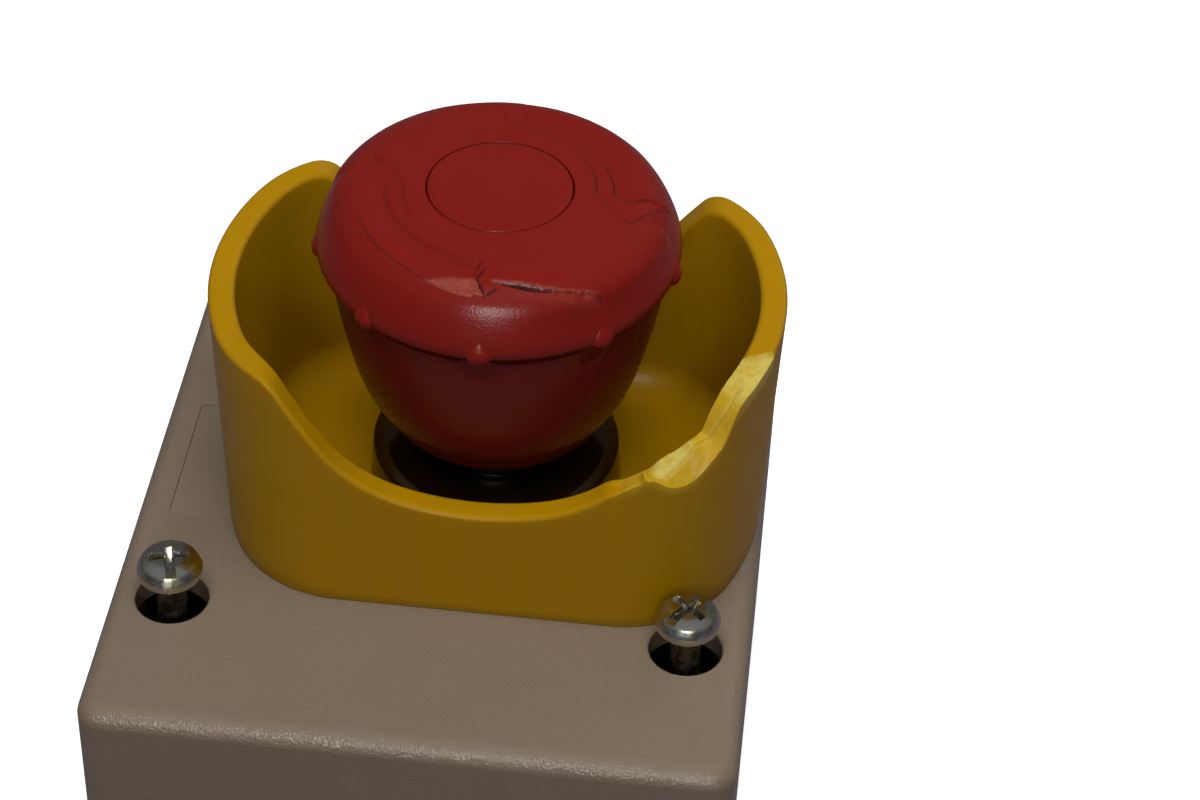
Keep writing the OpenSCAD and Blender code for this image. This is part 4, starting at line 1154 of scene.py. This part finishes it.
def make_springs():
    make_spring("return_spring", AXIS, 6.85, 0.5, 3.5)
    for side in ("left", "right"):
        low, high = box_mm(f"contact_plunger_{side}")
        centre = (low[:2] + high[:2]) / 2
        make_spring(f"contact_spring_{side}", centre, 2.2, 0.3, 7)


# ---- CAD nodes that stay as they are ----

def dress_cad_nodes():
    """Every CAD node that no piece stands for gets its slot's finish."""
    slots = {part["node"]: part["material_slot"] for part in frame["record"]["subparts"]}
    for name, node in frame["nodes"].items():
        if node.hide_render:
            continue
        node.data.materials.clear()
        node.data.materials.append(FINISHES[slots[name]])


# ---- Stage ----

def make_stage():
    """Pale floor and backdrop, soft light from above, and weaker light from the front and from behind."""
    half = 4000
    corners = [(-half, -half, 0), (half, -half, 0), (half, half, 0), (-half, half, 0)]
    floor = mesh_piece("floor", corners, [(0, 1, 2, 3)])
    material, tree, shader, place = new_material("floor_paint")
    tint = mix(tree, spots(tree, place, 300, 2), colour(0.86, 0.86, 0.86), colour(0.90, 0.90, 0.90))
    seen = add(tree, "LightPath").outputs["Is Camera Ray"]
    paint = mix(tree, seen, colour(0.16, 0.14, 0.16), tint)
    glow = math_node(tree, "MULTIPLY", seen, 0.45)
    feed(tree, shader, Base_Color=paint, Roughness=0.9, Specular_IOR_Level=0.1)
    feed(tree, shader, Emission_Color=colour(1, 1, 1), Emission_Strength=glow)
    floor.data.materials.append(material)

    world = bpy.data.worlds.new("studio")
    world.use_nodes = True
    sky = world.node_tree
    direction = add(sky, "SeparateXYZ", Vector=add(sky, "TexCoord").outputs["Generated"])
    overhead = ramp(sky, direction.outputs["Z"], -0.1, 1.0)
    behind = ramp(sky, direction.outputs["Y"], 0.1, 0.6)
    bright = mix(sky, overhead, colour(0.25, 0.25, 0.25), colour(1, 1, 1))
    dimmed = mix(sky, behind, bright, colour(0.42, 0.42, 0.42))
    backdrop = mix(sky, add(sky, "LightPath").outputs["Is Camera Ray"], dimmed, colour(3.4, 3.4, 3.4))
    feed(sky, sky.nodes["Background"], Color=backdrop, Strength=0.25)
    bpy.context.scene.world = world

    in_front = (0.03, -0.72, 0.46)
    add_light("key", (0.02, -0.26, 0.91), 0.55, 7.3, shines=False)
    add_light("front", in_front, 0.09, 0.85)
    add_light("glint", in_front, 0.07, 2.1, lights=False)
    add_light("fill", (0.45, 0.75, 0.50), 0.60, 3.0, shines=False)
    bpy.context.scene.view_settings.view_transform = "Standard"


def add_light(name, place, size, power, lights=True, shines=True):
    """Square area light at place, aimed at the part, in metres and watts. One that doesn't light surfaces
    only shines back from them, and one that doesn't shine only lights them."""
    light = bpy.data.lights.new(name, "AREA")
    light.size = size
    light.energy = power
    lamp = bpy.data.objects.new(name, light)
    lamp.location = place
    lamp.visible_diffuse = lights
    lamp.visible_glossy = shines
    lamp.rotation_mode = "QUATERNION"
    middle = Vector((0, 0, 0.06))
    lamp.rotation_quaternion = (middle - Vector(place)).to_track_quat("-Z", "Y")
    bpy.context.scene.collection.objects.link(lamp)


def make_camera():
    """Camera above the near side, looking down at the head."""
    place = Vector((AXIS[0] + 32.37, AXIS[1] - 262.84, LID_TOP + 246.18)) * MM
    yaw, pitch, roll = math.radians(-4.48), math.radians(41.24), math.radians(2.52)
    forward = Vector((math.sin(yaw) * math.cos(pitch), math.cos(yaw) * math.cos(pitch), -math.sin(pitch)))
    right = Vector((math.cos(yaw), -math.sin(yaw), 0))
    up = right.cross(forward)
    side = right * math.cos(roll) + up * math.sin(roll)
    over = up * math.cos(roll) - right * math.sin(roll)
    data = bpy.data.cameras.new("camera")
    data.lens = 92.63
    data.sensor_width = 36
    data.clip_start = 0.01
    camera = bpy.data.objects.new("camera", data)
    camera.matrix_world = Matrix((side, over, -forward)).transposed().to_4x4()
    camera.matrix_world.translation = place
    bpy.context.scene.collection.objects.link(camera)
    bpy.context.scene.camera = camera


make_lid()
make_base()
make_screws()
make_shroud()
make_cap()
make_plug()
make_skirt()
make_bezel()
make_gland()
make_springs()
dress_cad_nodes()
make_stage()
make_camera()
